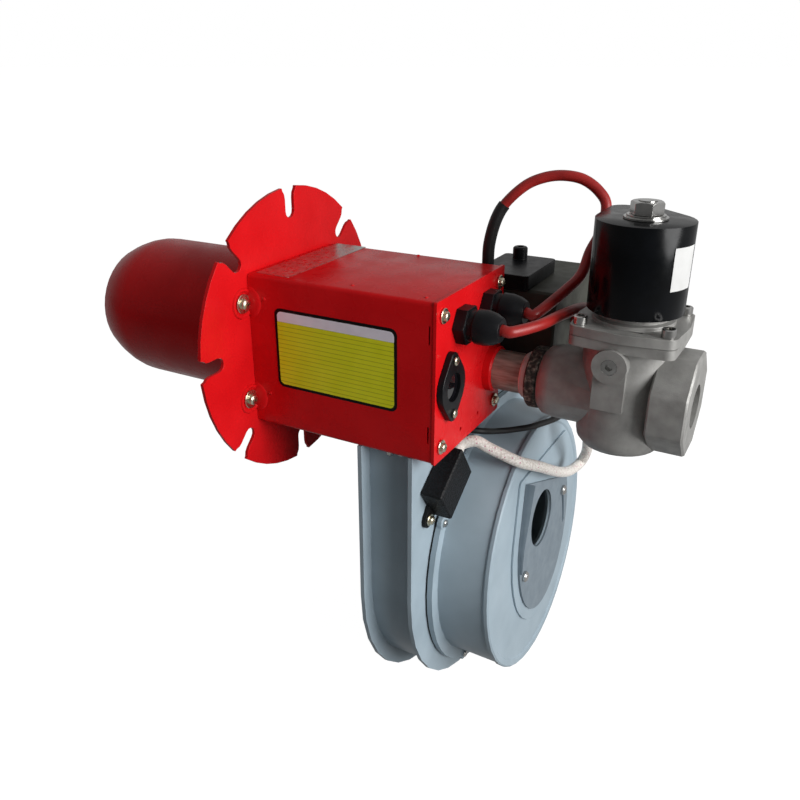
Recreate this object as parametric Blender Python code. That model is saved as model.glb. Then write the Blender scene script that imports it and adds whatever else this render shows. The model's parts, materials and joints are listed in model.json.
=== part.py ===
"""Industrial gas burner: flame tube, housing, gas valve, ignition set and blower.

Metres, +Z up. The origin is the centre of the mounting face: the flame tube
points along -X and the gas valve hangs on the nipple at +X.
"""

import math

import bmesh
import bpy
from mathutils import Matrix, Vector
from mathutils.geometry import tessellate_polygon

# General values
SEAT = 0.0002            # gap between two faces that sit on each other
LOOSE = 0.0003           # gap round a pin, wire or pipe in its hole
WELD = 1e-6
BIG = 0.3                # longer than any piece, for cutters that run through
ROUND = 32               # sides of a large turned piece
SMALL = 12               # sides of a small turned piece

# Mounting flange and flame tube
FLANGE_RADIUS = 0.0985
FLANGE_THICKNESS = 0.0025
FLANGE_OPENING = 0.0465
SLOT_COUNT = 8
SLOT_WIDTH = 0.0095
SLOT_MOUTH = 0.0150
SLOT_INNER_RADIUS = 0.078
FLANGE_SCREW_Y = 0.0556
FLANGE_SCREW_Z = 0.0330
TUBE_RADIUS = 0.0508
TUBE_WALL = 0.0015
TUBE_STRAIGHT = 0.1141
TUBE_LENGTH = 0.1430
TUBE_MOUTH_RADIUS = 0.0413
TUBE_RING_RADIUS = 0.073
TUBE_RING_THICKNESS = 0.002

# Burner housing and rear plate
HOUSING_HALF_WIDTH = 0.0495
HOUSING_HALF_HEIGHT = 0.0513
HOUSING_LENGTH = 0.1330
HOUSING_WALL = 0.0015
HOUSING_BEND = 0.0025
REAR_PLATE_THICKNESS = 0.002
REAR_PLATE_HALF_WIDTH = 0.0499
REAR_PLATE_HALF_HEIGHT = 0.05175
REAR_SCREW_Y = 0.0413
REAR_SCREW_Z = 0.0420
REAR_X = FLANGE_THICKNESS + HOUSING_LENGTH + REAR_PLATE_THICKNESS
HOUSING_FRONT_X = FLANGE_THICKNESS + SEAT
HOUSING_REAR_X = REAR_X - REAR_PLATE_THICKNESS - SEAT

# Sight window in the rear plate
SIGHT_Y = -0.0325
SIGHT_Z = -0.0048
SIGHT_RADIUS = 0.0160
SIGHT_EAR_RADIUS = 0.0052
SIGHT_SCREW_OFFSET = 0.0172
SIGHT_HEIGHT = 0.0040
GLASS_RADIUS = 0.0108
GLASS_THICKNESS = 0.0020

# Cable glands
GLAND_NEAR = (-0.0175, 0.0305)
GLAND_FAR = (0.0215, 0.0305)
GLAND_HEX_FLATS = 0.0215
GLAND_LENGTH = 0.0270
GLAND_THREAD_RADIUS = 0.0078
CABLE_RADIUS = 0.0035
SLEEVE_RADIUS = 0.0040
MOTOR_LEAD_RADIUS = 0.0022

# Gas nipple and its thread seal
GAS_Y = 0.034
GAS_Z = -0.0155
NIPPLE_RADIUS = 0.01345
NIPPLE_BORE = 0.0105
NIPPLE_INSIDE = 0.012
NIPPLE_OUTSIDE = 0.044
COLLAR_RADIUS = 0.0157
COLLAR_HEIGHT = 0.006
SEAL_START = 0.0252
SEAL_END = 0.0300
COUPLING_RADIUS = 0.0205
COUPLING_END = 0.0385

# Gas valve, centred on the coil axis
VALVE_X = REAR_X + 0.0905
BARREL_RADIUS = 0.0278
BARREL_BOTTOM = -0.0500
BODY_TOP = 0.0268
BONNET_TOP = 0.0330
BONNET_BOSS_RADIUS = 0.0215
COIL_BOTTOM = 0.0400
COIL_TOP = 0.0930
COIL_RADIUS = 0.0285
COIL_BORE = 0.0095
TERMINAL_BOX_CORNER = 0.0090
TERMINAL_BOX_DEPTH = 0.0385   # from the coil axis to the terminal box's far face
TERMINAL_BOX_SIDE = 0.0050    # from the coil axis to its side towards the gas inlet
COIL_LEAD_X = VALVE_X - 0.0125
COIL_LEAD_Z = 0.0550
BOLT_X = 0.0255
BOLT_Y = 0.0240
LUG_RADIUS = 0.0058
BONNET_RADIUS = 0.0335
BODY_FLANGE_RADIUS = 0.0318
BODY_FLANGE_THICKNESS = 0.0060
CHAMBER_RADIUS = 0.0200
CHAMBER_FLOOR = -0.0100
SEAT_HOLE_RADIUS = 0.0085
PORT_BORE = 0.0105
INLET_END = 0.0425       # distance of the inlet face from the coil axis
INLET_HALF = 0.0305      # half of the inlet block across its flats
PLUNGER_TRAVEL = 0.003
PLUNGER_RADIUS = 0.0064
ARMATURE_BORE = 0.0068
ARMATURE_RADIUS = 0.0091
ARMATURE_FLANGE_LOW = 0.0246
NUT_FLATS = 0.0170
NUT_TOP = 0.1030
SPRING_WIRE = 0.0006
SPRING_RADIUS = 0.0086
SPRING_TURNS = 5
SIDE_BOSS_X = -0.0035
SIDE_BOSS_Z = 0.0125
SIDE_BOSS_RADIUS = 0.0105
SIDE_BOSS_FACE_Y = 0.0000
PLUG_RADIUS = 0.0047

# Gas lance, nozzle, diffuser and electrodes
LANCE_RADIUS = 0.0101
LANCE_WALL = 0.0016
NOZZLE_RADIUS = 0.0140
NOZZLE_BACK_X = -0.0560
NOZZLE_FRONT_X = -0.0860
DIFFUSER_RADIUS = 0.0420
DIFFUSER_X = -0.0700
ELECTRODE_Y = 0.0200
ELECTRODE_Z = 0.0200
INSULATOR_RADIUS = 0.0040
INSULATOR_FRONT_X = -0.0820
INSULATOR_BACK_X = 0.0100
ELECTRODE_ROD = 0.0011

# Ignition transformer on the far side of the housing
TRANSFORMER_FOOT_Y = HOUSING_HALF_WIDTH + SEAT
TRANSFORMER_NEAR_Y = 0.0552
TRANSFORMER_FAR_Y = 0.1450
TRANSFORMER_X = (REAR_X - 0.0220, REAR_X + 0.0350)
TRANSFORMER_Z = (-0.0300, 0.0350)
LID_X = (REAR_X - 0.0225, REAR_X + 0.0160)
LID_Y = (0.0515, 0.1080)
LID_TOP = 0.0450
OUTLET_FRONT = (REAR_X - 0.0190, 0.0665)
OUTLET_SPARE = (REAR_X - 0.0073, 0.0968)
OUTLET_RADIUS = 0.0052
OUTLET_HEIGHT = 0.0085

# Blower: scroll between two plates, gasket, front shell and its tilted face
SCROLL_BACK_X = REAR_X - 0.0555
SCROLL_JOINT_X = REAR_X - 0.0160
SCROLL_PLATE = 0.0030
SCROLL_TOP = -HOUSING_HALF_HEIGHT - SEAT
BACK_PLATE_CENTRE = (0.073, -0.169)
BACK_PLATE_RADIUS = 0.122
WEB_CENTRE = (0.073, -0.167)
WEB_RADIUS = 0.112
WEB_WALL = 0.0030
JOINT_PLATE_CENTRE = (0.071, -0.163)
JOINT_PLATE_RADIUS = 0.119
OUTLET_X = (REAR_X - 0.0500, REAR_X - 0.0215)
OUTLET_Y = (-0.0365, 0.0440)
GASKET_THICKNESS = 0.0011
LEAD_HOLE = (0.0230, -0.0600)    # where the motor lead passes the joint plate
SHELL_BACK_X = SCROLL_JOINT_X + GASKET_THICKNESS + 2 * SEAT
SHELL_FLANGE_CENTRE = (0.083, -0.169)
SHELL_FLANGE_RADIUS = 0.1105
SHELL_FLANGE_THICKNESS = 0.0040
SHELL_CENTRE = (0.083, -0.168)
SHELL_RADIUS = 0.1020
SHELL_WALL = 0.0028
SHELL_OPENING_RADIUS = 0.0950
FACE_CENTRE = Vector((REAR_X + 0.0285, 0.080, -0.171))
FACE_RADIUS = 0.0984
FACE_TILT = math.radians(2.5)
FACE_BEAD = 0.0012
FACE_STEP = 0.0010
INLET_HOLE = (-0.001, 0.021)
INLET_HOLE_RADIUS = 0.0225

# Inlet plate and air shutter, measured on the tilted face
INLET_PLATE_THICKNESS = 0.0015
SHUTTER_THICKNESS = 0.0015
SHUTTER_PIVOT = (-0.0370, -0.0100)
SHUTTER_CLAMP = (0.0480, 0.0210)
SHUTTER_SWING_DEG = 20
SHUTTER_INSET = 0.009
SHUTTER_SCREW_RADIUS = 0.0019

# Motor and impeller, on the axis of the inlet hole
FAN_Y = 0.079
FAN_Z = -0.150
IMPELLER_RADIUS = 0.0700
IMPELLER_INNER = 0.0570
IMPELLER_BLADES = 18
IMPELLER_BACK_X = SCROLL_BACK_X + 0.0085
IMPELLER_FRONT_X = SCROLL_JOINT_X - 0.0050
IMPELLER_RIM = 0.0016
STATOR_X = SCROLL_BACK_X + SCROLL_PLATE + SEAT
STATOR_RADIUS = 0.048
STATOR_BASE = 0.0022
STATOR_CORE_RADIUS = 0.036
ROTOR_RADIUS = 0.0430
ROTOR_WALL = 0.0040
ROTOR_X = (STATOR_X + 0.0032, STATOR_X + 0.0227)
SHAFT_RADIUS = 0.0040

# Run capacitor, lying askew on the joint plate
CAPACITOR_CORNER = (0.0112, -0.0845)
CAPACITOR_LENGTH = 0.0385
CAPACITOR_WIDTH = 0.0300
CAPACITOR_DEPTH = 0.0153
CAPACITOR_ANGLE = math.radians(214.4)
CAPACITOR_EAR_RADIUS = 0.0060
CAPACITOR_EAR_THICKNESS = 0.0025
CAPACITOR_HOLE = (0.0445, 0.0052)

# Directions in which flat outlines are laid out
ALONG_X = Matrix(((0, 0, 1, 0), (1, 0, 0, 0), (0, 1, 0, 0), (0, 0, 0, 1)))
ALONG_Y = Matrix(((0, 1, 0, 0), (0, 0, 1, 0), (1, 0, 0, 0), (0, 0, 0, 1)))
ALONG_Z = Matrix.Identity(4)
ON_FACE = (Matrix.Translation(FACE_CENTRE)
           @ Matrix.Rotation(-FACE_TILT, 4, "Y") @ ALONG_X)

# Colours: base colour, metallic, roughness
RED_PAINT = ((0.45, 0.012, 0.012), 0.0, 0.35)
GREY_PAINT = ((0.34, 0.42, 0.47), 0.0, 0.35)
CAST_ALUMINIUM = ((0.42, 0.42, 0.41), 0.9, 0.5)
STEEL = ((0.55, 0.55, 0.55), 1.0, 0.3)
ZINC_YELLOW = ((0.72, 0.60, 0.30), 1.0, 0.3)
DARK_IRON = ((0.06, 0.05, 0.05), 0.4, 0.8)
BLACK_PLASTIC = ((0.012, 0.012, 0.013), 0.0, 0.35)
DARK_PLASTIC = ((0.05, 0.05, 0.045), 0.0, 0.5)
RUBBER = ((0.01, 0.01, 0.01), 0.0, 0.7)
CERAMIC = ((0.8, 0.78, 0.72), 0.0, 0.3)
RED_SILICONE = ((0.28, 0.02, 0.015), 0.0, 0.4)
WHITE_SLEEVE = ((0.7, 0.66, 0.62), 0.0, 0.8)
WHITE_TAPE = ((0.8, 0.8, 0.78), 0.0, 0.6)
WINDOW_GLASS = ((0.03, 0.03, 0.04), 0.0, 0.05)


# Basic shapes

def arc(centre, radius, start, end, steps):
    """Points of an arc from start to end, both included; angles in radians."""
    return [(centre[0] + radius * math.cos(start + (end - start) * i / steps),
             centre[1] + radius * math.sin(start + (end - start) * i / steps))
            for i in range(steps + 1)]


def circle(centre, radius, sides):
    return arc(centre, radius, 0.0, math.tau, sides)[:-1]


def rounded_rectangle(x_range, y_range, radius, steps=3):
    points = []
    corners = ((x_range[1], y_range[1], -1, -1), (x_range[0], y_range[1], 1, -1),
               (x_range[0], y_range[0], 1, 1), (x_range[1], y_range[0], -1, 1))
    for quarter, (x, y, sx, sy) in enumerate(corners):
        centre = (x + sx * radius, y + sy * radius)
        start = quarter * math.pi / 2
        points += arc(centre, radius, start, start + math.pi / 2, steps)
    return points


def hull(circles, sides):
    """Outline of a band drawn tight round a few circles."""
    points = sorted({p for centre, radius in circles for p in circle(centre, radius, sides)})

    def half(sequence):
        chain = []
        for p in sequence:
            while len(chain) > 1:
                (ax, ay), (bx, by) = chain[-2:]
                if (bx - ax) * (p[1] - ay) - (by - ay) * (p[0] - ax) > 1e-12:
                    break
                chain.pop()
            chain.append(p)
        return chain[:-1]

    return half(points) + half(points[::-1])


def closed_mesh(mesh, matrix):
    bmesh.ops.remove_doubles(mesh, verts=mesh.verts, dist=WELD)
    mesh.transform(matrix)
    bmesh.ops.recalc_face_normals(mesh, faces=mesh.faces)
    if mesh.calc_volume(signed=True) < 0.0:
        bmesh.ops.reverse_faces(mesh, faces=mesh.faces)
    return mesh


def plate(outline, holes, low, high, matrix):
    """Solid of one flat outline, with holes, from low to high on the matrix's Z axis."""
    loops = [outline] + holes
    flat = [point for loop in loops for point in loop]
    triangles = tessellate_polygon([[Vector((x, y, 0.0)) for x, y in loop] for loop in loops])
    mesh = bmesh.new()
    bottom = [mesh.verts.new((x, y, low)) for x, y in flat]
    top = [mesh.verts.new((x, y, high)) for x, y in flat]
    for a, b, c in triangles:
        mesh.faces.new((bottom[a], bottom[c], bottom[b]))
        mesh.faces.new((top[a], top[b], top[c]))
    start = 0
    for loop in loops:
        count = len(loop)
        for i in range(count):
            a, b = start + i, start + (i + 1) % count
            mesh.faces.new((bottom[a], bottom[b], top[b], top[a]))
        start += count
    return closed_mesh(mesh, matrix)


def cylinder(centre, radius, low, high, matrix, sides=SMALL):
    return plate(circle(centre, radius, sides), [], low, high, matrix)


def box(x_range, y_range, z_range):
    outline = [(x_range[0], y_range[0]), (x_range[1], y_range[0]),
               (x_range[1], y_range[1]), (x_range[0], y_range[1])]
    return plate(outline, [], z_range[0], z_range[1], ALONG_Z)


def lathe(profile, sides, matrix):
    """Turn a profile of (radius, height) points about the matrix's own Z axis."""
    mesh = bmesh.new()
    points = [mesh.verts.new((radius, 0.0, height)) for radius, height in profile]
    edges = [mesh.edges.new((a, b)) for a, b in zip(points, points[1:] + points[:1])
             if a.co.x > WELD or b.co.x > WELD]
    bmesh.ops.spin(mesh, geom=points + edges, cent=(0, 0, 0), axis=(0, 0, 1),
                   angle=math.tau, steps=sides, use_merge=True)
    return closed_mesh(mesh, matrix)


def ring_loft(rings):
    """Solid whose skin runs through the rings in turn and back to the first."""
    mesh = bmesh.new()
    rows = [[mesh.verts.new(point) for point in ring] for ring in rings]
    for row, following in zip(rows, rows[1:] + rows[:1]):
        count = len(row)
        for i in range(count):
            j = (i + 1) % count
            mesh.faces.new((row[i], row[j], following[j], following[i]))
    return closed_mesh(mesh, ALONG_Z)


def boolean(body, tool, operation):
    """Join or cut two solids; both go in, the new solid comes out."""
    holders = []
    for solid in (body, tool):
        data = bpy.data.meshes.new("shape")
        solid.to_mesh(data)
        solid.free()
        holder = bpy.data.objects.new("shape", data)
        bpy.context.scene.collection.objects.link(holder)
        holders.append(holder)
    modifier = holders[0].modifiers.new("shape", "BOOLEAN")
    modifier.operation = operation
    modifier.solver = "EXACT"
    modifier.object = holders[1]
    graph = bpy.context.evaluated_depsgraph_get()
    result = bmesh.new()
    result.from_mesh(holders[0].evaluated_get(graph).to_mesh())
    for holder in holders:
        data = holder.data
        bpy.data.objects.remove(holder)
        bpy.data.meshes.remove(data)
    return result


def join(body, *others):
    for other in others:
        body = boolean(body, other, "UNION")
    return body


def cut(body, *tools):
    for tool in tools:
        body = boolean(body, tool, "DIFFERENCE")
    return body


def soften(mesh, width, segments=2, angle=math.radians(30)):
    """Round the edges at which two faces meet more sharply than the angle."""
    edges = [e for e in mesh.edges if len(e.link_faces) == 2 and e.calc_face_angle() > angle]
    bmesh.ops.bevel(mesh, geom=edges, offset=width, segments=segments, profile=0.5,
                    affect="EDGES", clamp_overlap=True)
    return mesh


def at(x, y, z):
    return Matrix.Translation((x, y, z))


# Objects and materials

def material_for(obj, look):
    colour, metallic, roughness = look
    material = bpy.data.materials.new(obj.name)
    material.use_nodes = True
    shader = material.node_tree.nodes["Principled BSDF"]
    shader.inputs["Base Color"].default_value = (*colour, 1.0)
    shader.inputs["Metallic"].default_value = metallic
    shader.inputs["Roughness"].default_value = roughness
    obj.data.materials.append(material)


def node(name, mesh, look, origin=(0.0, 0.0, 0.0)):
    """One named object from one closed solid, with its origin where it turns or sits."""
    mesh.transform(Matrix.Translation(-Vector(origin)))
    data = bpy.data.meshes.new(name)
    mesh.to_mesh(data)
    mesh.free()
    obj = bpy.data.objects.new(name, data)
    obj.location = origin
    bpy.context.scene.collection.objects.link(obj)
    for polygon in data.polygons:
        polygon.use_smooth = True
    data.set_sharp_from_angle(angle=math.radians(32))
    material_for(obj, look)
    return obj


def smooth_route(points, step):
    """A curve through the route points, as a chain of points about one step apart."""
    route = [Vector(p) for p in points]
    ends = [2 * route[0] - route[1]] + route + [2 * route[-1] - route[-2]]
    chain = []
    for a, b, c, d in zip(ends, ends[1:], ends[2:], ends[3:]):
        pieces = max(1, round((c - b).length / step))
        for i in range(pieces):
            t = i / pieces
            chain.append(0.5 * (2 * b + (c - a) * t + (2 * a - 5 * b + 4 * c - d) * t ** 2
                                + (3 * b - a - 3 * c + d) * t ** 3))
    return chain + [route[-1]]


def cord(name, chain, radius, look, roundness=2):
    curve = bpy.data.curves.new(name, "CURVE")
    curve.dimensions = "3D"
    spline = curve.splines.new("POLY")
    spline.points.add(len(chain) - 1)
    for point, position in zip(spline.points, chain):
        point.co = (*position, 1.0)
    curve.bevel_depth = radius
    curve.bevel_resolution = roundness
    curve.use_fill_caps = True
    obj = bpy.data.objects.new(name, curve)
    bpy.context.scene.collection.objects.link(obj)
    material_for(obj, look)
    return obj


def screw(name, place, washer, head, head_height, shank, length, look=ZINC_YELLOW, grip=0.0,
          sides=SMALL):
    """Pan-head screw with its captive washer; the seat is the place's plane Z = 0."""
    base = 0.0012 if washer else 0.0
    profile = [(0.0, -grip - length), (shank, -grip - length), (shank, 0.0)]
    if washer:
        profile += [(washer, 0.0), (washer, base)]
    profile += [(head, base), (head, base + 0.55 * head_height),
                (0.72 * head, base + 0.9 * head_height), (0.0, base + head_height)]
    return node(name, lathe(profile, sides, place), look, place.translation)


# Flame tube, flange and housing

def slot_edge(angle):
    """One open slot of the flange, from the rim inwards and back out."""
    half, mouth = SLOT_WIDTH / 2, SLOT_MOUTH / 2
    inner = SLOT_INNER_RADIUS + half
    rim = math.sqrt(FLANGE_RADIUS ** 2 - mouth ** 2)
    side = [(rim, mouth), (rim - 0.0018, mouth - 0.0004), (rim - 0.0042, half + 0.0006),
            (rim - 0.0075, half)]
    local = [(x, -y) for x, y in side]
    local += [(x, y) for x, y in arc((inner, 0.0), half, -math.pi / 2, -math.pi * 1.5, 6)]
    local += side[::-1]
    c, s = math.cos(angle), math.sin(angle)
    return [(x * c - y * s, x * s + y * c) for x, y in local]


def mounting_flange():
    outline = []
    pitch = math.tau / SLOT_COUNT
    opening = math.asin(SLOT_MOUTH / 2 / FLANGE_RADIUS)
    for i in range(SLOT_COUNT):
        outline += slot_edge(i * pitch)
        outline += arc((0, 0), FLANGE_RADIUS, i * pitch + opening, (i + 1) * pitch - opening, 5)[1:-1]
    holes = [circle((0, 0), FLANGE_OPENING, ROUND)]
    holes += [circle(centre, 0.0029, 12) for centre in flange_screw_places()]
    node("mounting_flange", plate(outline, holes, 0.0, FLANGE_THICKNESS, ALONG_X), RED_PAINT)


def flange_screw_places():
    return [(sy * FLANGE_SCREW_Y, sz * FLANGE_SCREW_Z) for sy in (-1, 1) for sz in (1, -1)]


def flange_screws():
    for number, (y, z) in enumerate(flange_screw_places(), 1):
        place = at(FLANGE_THICKNESS + SEAT, y, z) @ ALONG_X
        screw(f"flange_screw_{number}", place, 0.0070, 0.0047, 0.0034, 0.0025, 0.006)


def burner_tube():
    back = -SEAT
    ring_front = back - TUBE_RING_THICKNESS
    nose = TUBE_LENGTH - TUBE_STRAIGHT
    drop = TUBE_RADIUS - TUBE_MOUTH_RADIUS
    curve = [(TUBE_RADIUS - drop * (i / 5) ** 1.7, -TUBE_STRAIGHT - nose * i / 5) for i in range(6)]
    inside = [(radius - TUBE_WALL, height) for radius, height in curve[::-1]]
    profile = [(TUBE_RING_RADIUS, back), (TUBE_RING_RADIUS, ring_front),
               (TUBE_RADIUS + 0.002, ring_front), (TUBE_RADIUS, ring_front - 0.002)]
    profile += curve + inside + [(TUBE_RADIUS - TUBE_WALL, back)]
    holes = [cylinder(centre, 0.0028, -BIG, BIG, ALONG_X, 12) for centre in flange_screw_places()]
    node("burner_tube", cut(lathe(profile, 40, ALONG_X), *holes), RED_PAINT)


def burner_housing():
    width, height, wall = HOUSING_HALF_WIDTH, HOUSING_HALF_HEIGHT, HOUSING_WALL
    front, rear = HOUSING_FRONT_X, HOUSING_REAR_X
    shell = plate(rounded_rectangle((-width, width), (-height, height), HOUSING_BEND),
                  [], front, rear, ALONG_X)
    inside = plate(rounded_rectangle((wall - width, width - wall), (wall - height, height - wall),
                                     HOUSING_BEND - wall), [], front + wall, rear - wall, ALONG_X)
    tab = 0.0150
    reach = height - tab - 0.002
    across = box((rear - 2 * wall, rear + wall), (wall - width, width - wall), (-reach, reach))
    upright = box((rear - 2 * wall, rear + wall), (tab - width, width - tab), (wall - height, height - wall))
    tube_side = cylinder((0, 0), FLANGE_OPENING, 0.0, front + 2 * wall, ALONG_X, ROUND)
    outlet = box(OUTLET_X, OUTLET_Y, (-height - wall, 2 * wall - height))
    body = cut(shell, inside, across, upright, tube_side, outlet)
    for y, z in flange_screw_places():
        body = cut(body, cylinder((y, z), 0.0083, 0.0, front + 0.0085, ALONG_X, 20))
    for side in (-1, 1):
        for z in (0.0315, -0.0318):
            slot_x = (rear - wall - 0.0016, rear - wall - 0.0004)
            body = cut(body, box(slot_x, sorted((side * (width - 2 * wall), side * (width + wall))),
                                 (z - 0.0056, z + 0.0056)))
    for y, z in rear_screw_places():
        body = cut(body, cylinder((y, z), 0.0022, rear - 2 * wall, rear + wall, ALONG_X, 12))
    node("burner_housing", body, RED_PAINT)


def rear_screw_places():
    return [(sy * REAR_SCREW_Y, sz * REAR_SCREW_Z) for sy in (-1, 1) for sz in (1, -1)]


def rear_plate():
    low, high = REAR_X - REAR_PLATE_THICKNESS, REAR_X
    outline = rounded_rectangle((-REAR_PLATE_HALF_WIDTH, REAR_PLATE_HALF_WIDTH),
                                (-REAR_PLATE_HALF_HEIGHT, REAR_PLATE_HALF_HEIGHT), 0.0015)
    holes = [circle(centre, 0.0023, 12) for centre in rear_screw_places()]
    holes += [circle(centre, GLAND_THREAD_RADIUS + LOOSE, 20) for centre in (GLAND_NEAR, GLAND_FAR)]
    holes += [circle((SIGHT_Y, SIGHT_Z), GLASS_RADIUS - 0.0012, 20)]
    holes += [circle((SIGHT_Y, SIGHT_Z + s * SIGHT_SCREW_OFFSET), 0.0017, 12) for s in (1, -1)]
    holes += [circle((0.0148, -0.0416), 0.0014, 10), circle((-0.0121, -0.0421), 0.0014, 10)]
    sheet = plate(outline, holes, low, high, ALONG_X)
    collar = lathe([(0.0, low + 0.0005), (COLLAR_RADIUS, low + 0.0005),
                    (COLLAR_RADIUS, high + COLLAR_HEIGHT - 0.001),
                    (COLLAR_RADIUS - 0.001, high + COLLAR_HEIGHT), (0.0, high + COLLAR_HEIGHT)],
                   24, at(0, GAS_Y, GAS_Z) @ ALONG_X)
    bore = cylinder((GAS_Y, GAS_Z), NIPPLE_RADIUS + SEAT, low - 0.01, high + 0.02, ALONG_X, 24)
    node("rear_plate", cut(join(sheet, collar), bore), RED_PAINT)
    for number, (y, z) in enumerate(rear_screw_places(), 1):
        place = at(REAR_X + SEAT, y, z) @ ALONG_X
        screw(f"rear_plate_screw_{number}", place, 0.0047, 0.0036, 0.0026, 0.0020, 0.0075)


def sight_window():
    base = REAR_X + SEAT
    ears = [((SIGHT_Y, SIGHT_Z + s * SIGHT_SCREW_OFFSET), SIGHT_EAR_RADIUS) for s in (1, -1)]
    outline = hull([((SIGHT_Y, SIGHT_Z), SIGHT_RADIUS)] + ears, 20)
    frame = soften(plate(outline, [], base, base + SIGHT_HEIGHT, ALONG_X), 0.0007, 1)
    pocket = cylinder((SIGHT_Y, SIGHT_Z), GLASS_RADIUS + SEAT, base - 0.001,
                      base + GLASS_THICKNESS + SEAT, ALONG_X, 20)
    view = cylinder((SIGHT_Y, SIGHT_Z), GLASS_RADIUS - 0.0016, base - 0.001, base + 0.01, ALONG_X, 20)
    holes = [cylinder(centre, 0.0018, base - 0.001, base + 0.01, ALONG_X, 12) for centre, _ in ears]
    node("sight_window_frame", cut(frame, pocket, view, *holes), BLACK_PLASTIC)
    glass = cylinder((SIGHT_Y, SIGHT_Z), GLASS_RADIUS, base, base + GLASS_THICKNESS, ALONG_X, 20)
    node("sight_glass", glass, WINDOW_GLASS)
    for label, (centre, _) in zip(("upper", "lower"), ears):
        place = at(base + SIGHT_HEIGHT + SEAT, *centre) @ ALONG_X
        screw(f"sight_window_screw_{label}", place, 0.0, 0.0030, 0.0020, 0.0015, 0.009)


def cable_gland(name, centre):
    """Black gland: threaded tail through the plate, hexagon, then a domed cap."""
    seat = SEAT
    across = GLAND_HEX_FLATS / math.sqrt(3)
    turned = [(0.0, -0.012), (GLAND_THREAD_RADIUS, -0.012), (GLAND_THREAD_RADIUS, seat + 0.001),
              (0.0098, seat + 0.001), (0.0098, 0.0110), (0.0108, 0.0118), (0.0108, 0.0175),
              (0.0096, 0.0225), (0.0072, GLAND_LENGTH), (0.0, GLAND_LENGTH)]
    place = at(REAR_X, *centre) @ ALONG_X
    hexagon = plate(circle((0, 0), across, 6), [], seat, 0.0075, place)
    bore = cylinder((0, 0), CABLE_RADIUS + LOOSE, -BIG, BIG, place, 12)
    node(name, cut(join(lathe(turned, 18, place), hexagon), bore), BLACK_PLASTIC)


# Gas train

def gas_nipple():
    low, high = REAR_X - NIPPLE_INSIDE, REAR_X + NIPPLE_OUTSIDE
    profile = [(NIPPLE_BORE, low), (NIPPLE_RADIUS, low), (NIPPLE_RADIUS, high), (NIPPLE_BORE, high)]
    place = at(0, GAS_Y, GAS_Z) @ ALONG_X
    node("gas_nipple", lathe(profile, 24, place), STEEL)
    inner = NIPPLE_RADIUS + SEAT
    seal = [(inner, SEAL_START), (inner + 0.0008, SEAL_START), (inner + 0.0018, SEAL_START + 0.0012),
            (inner + 0.0018, SEAL_END), (inner, SEAL_END)]
    node("thread_seal", lathe([(r, REAR_X + h) for r, h in seal], 20, place), WHITE_TAPE)
    ring = [(inner, SEAL_END + SEAT), (COUPLING_RADIUS - 0.0015, SEAL_END + SEAT),
            (COUPLING_RADIUS, SEAL_END + 0.0015), (COUPLING_RADIUS, COUPLING_END - 0.0010),
            (COUPLING_RADIUS - 0.0010, COUPLING_END), (inner, COUPLING_END)]
    node("pipe_coupling", lathe([(r, REAR_X + h) for r, h in ring], 24, place), DARK_IRON)


def bolt_places():
    return [(VALVE_X + sx * BOLT_X, GAS_Y + sy * BOLT_Y) for sx in (-1, 1) for sy in (-1, 1)]


def lug_outline(radius):
    """Round valve flange drawn out to a lug at each of the four bolts."""
    return hull([((VALVE_X, GAS_Y), radius)] + [(place, LUG_RADIUS) for place in bolt_places()], 24)


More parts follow.
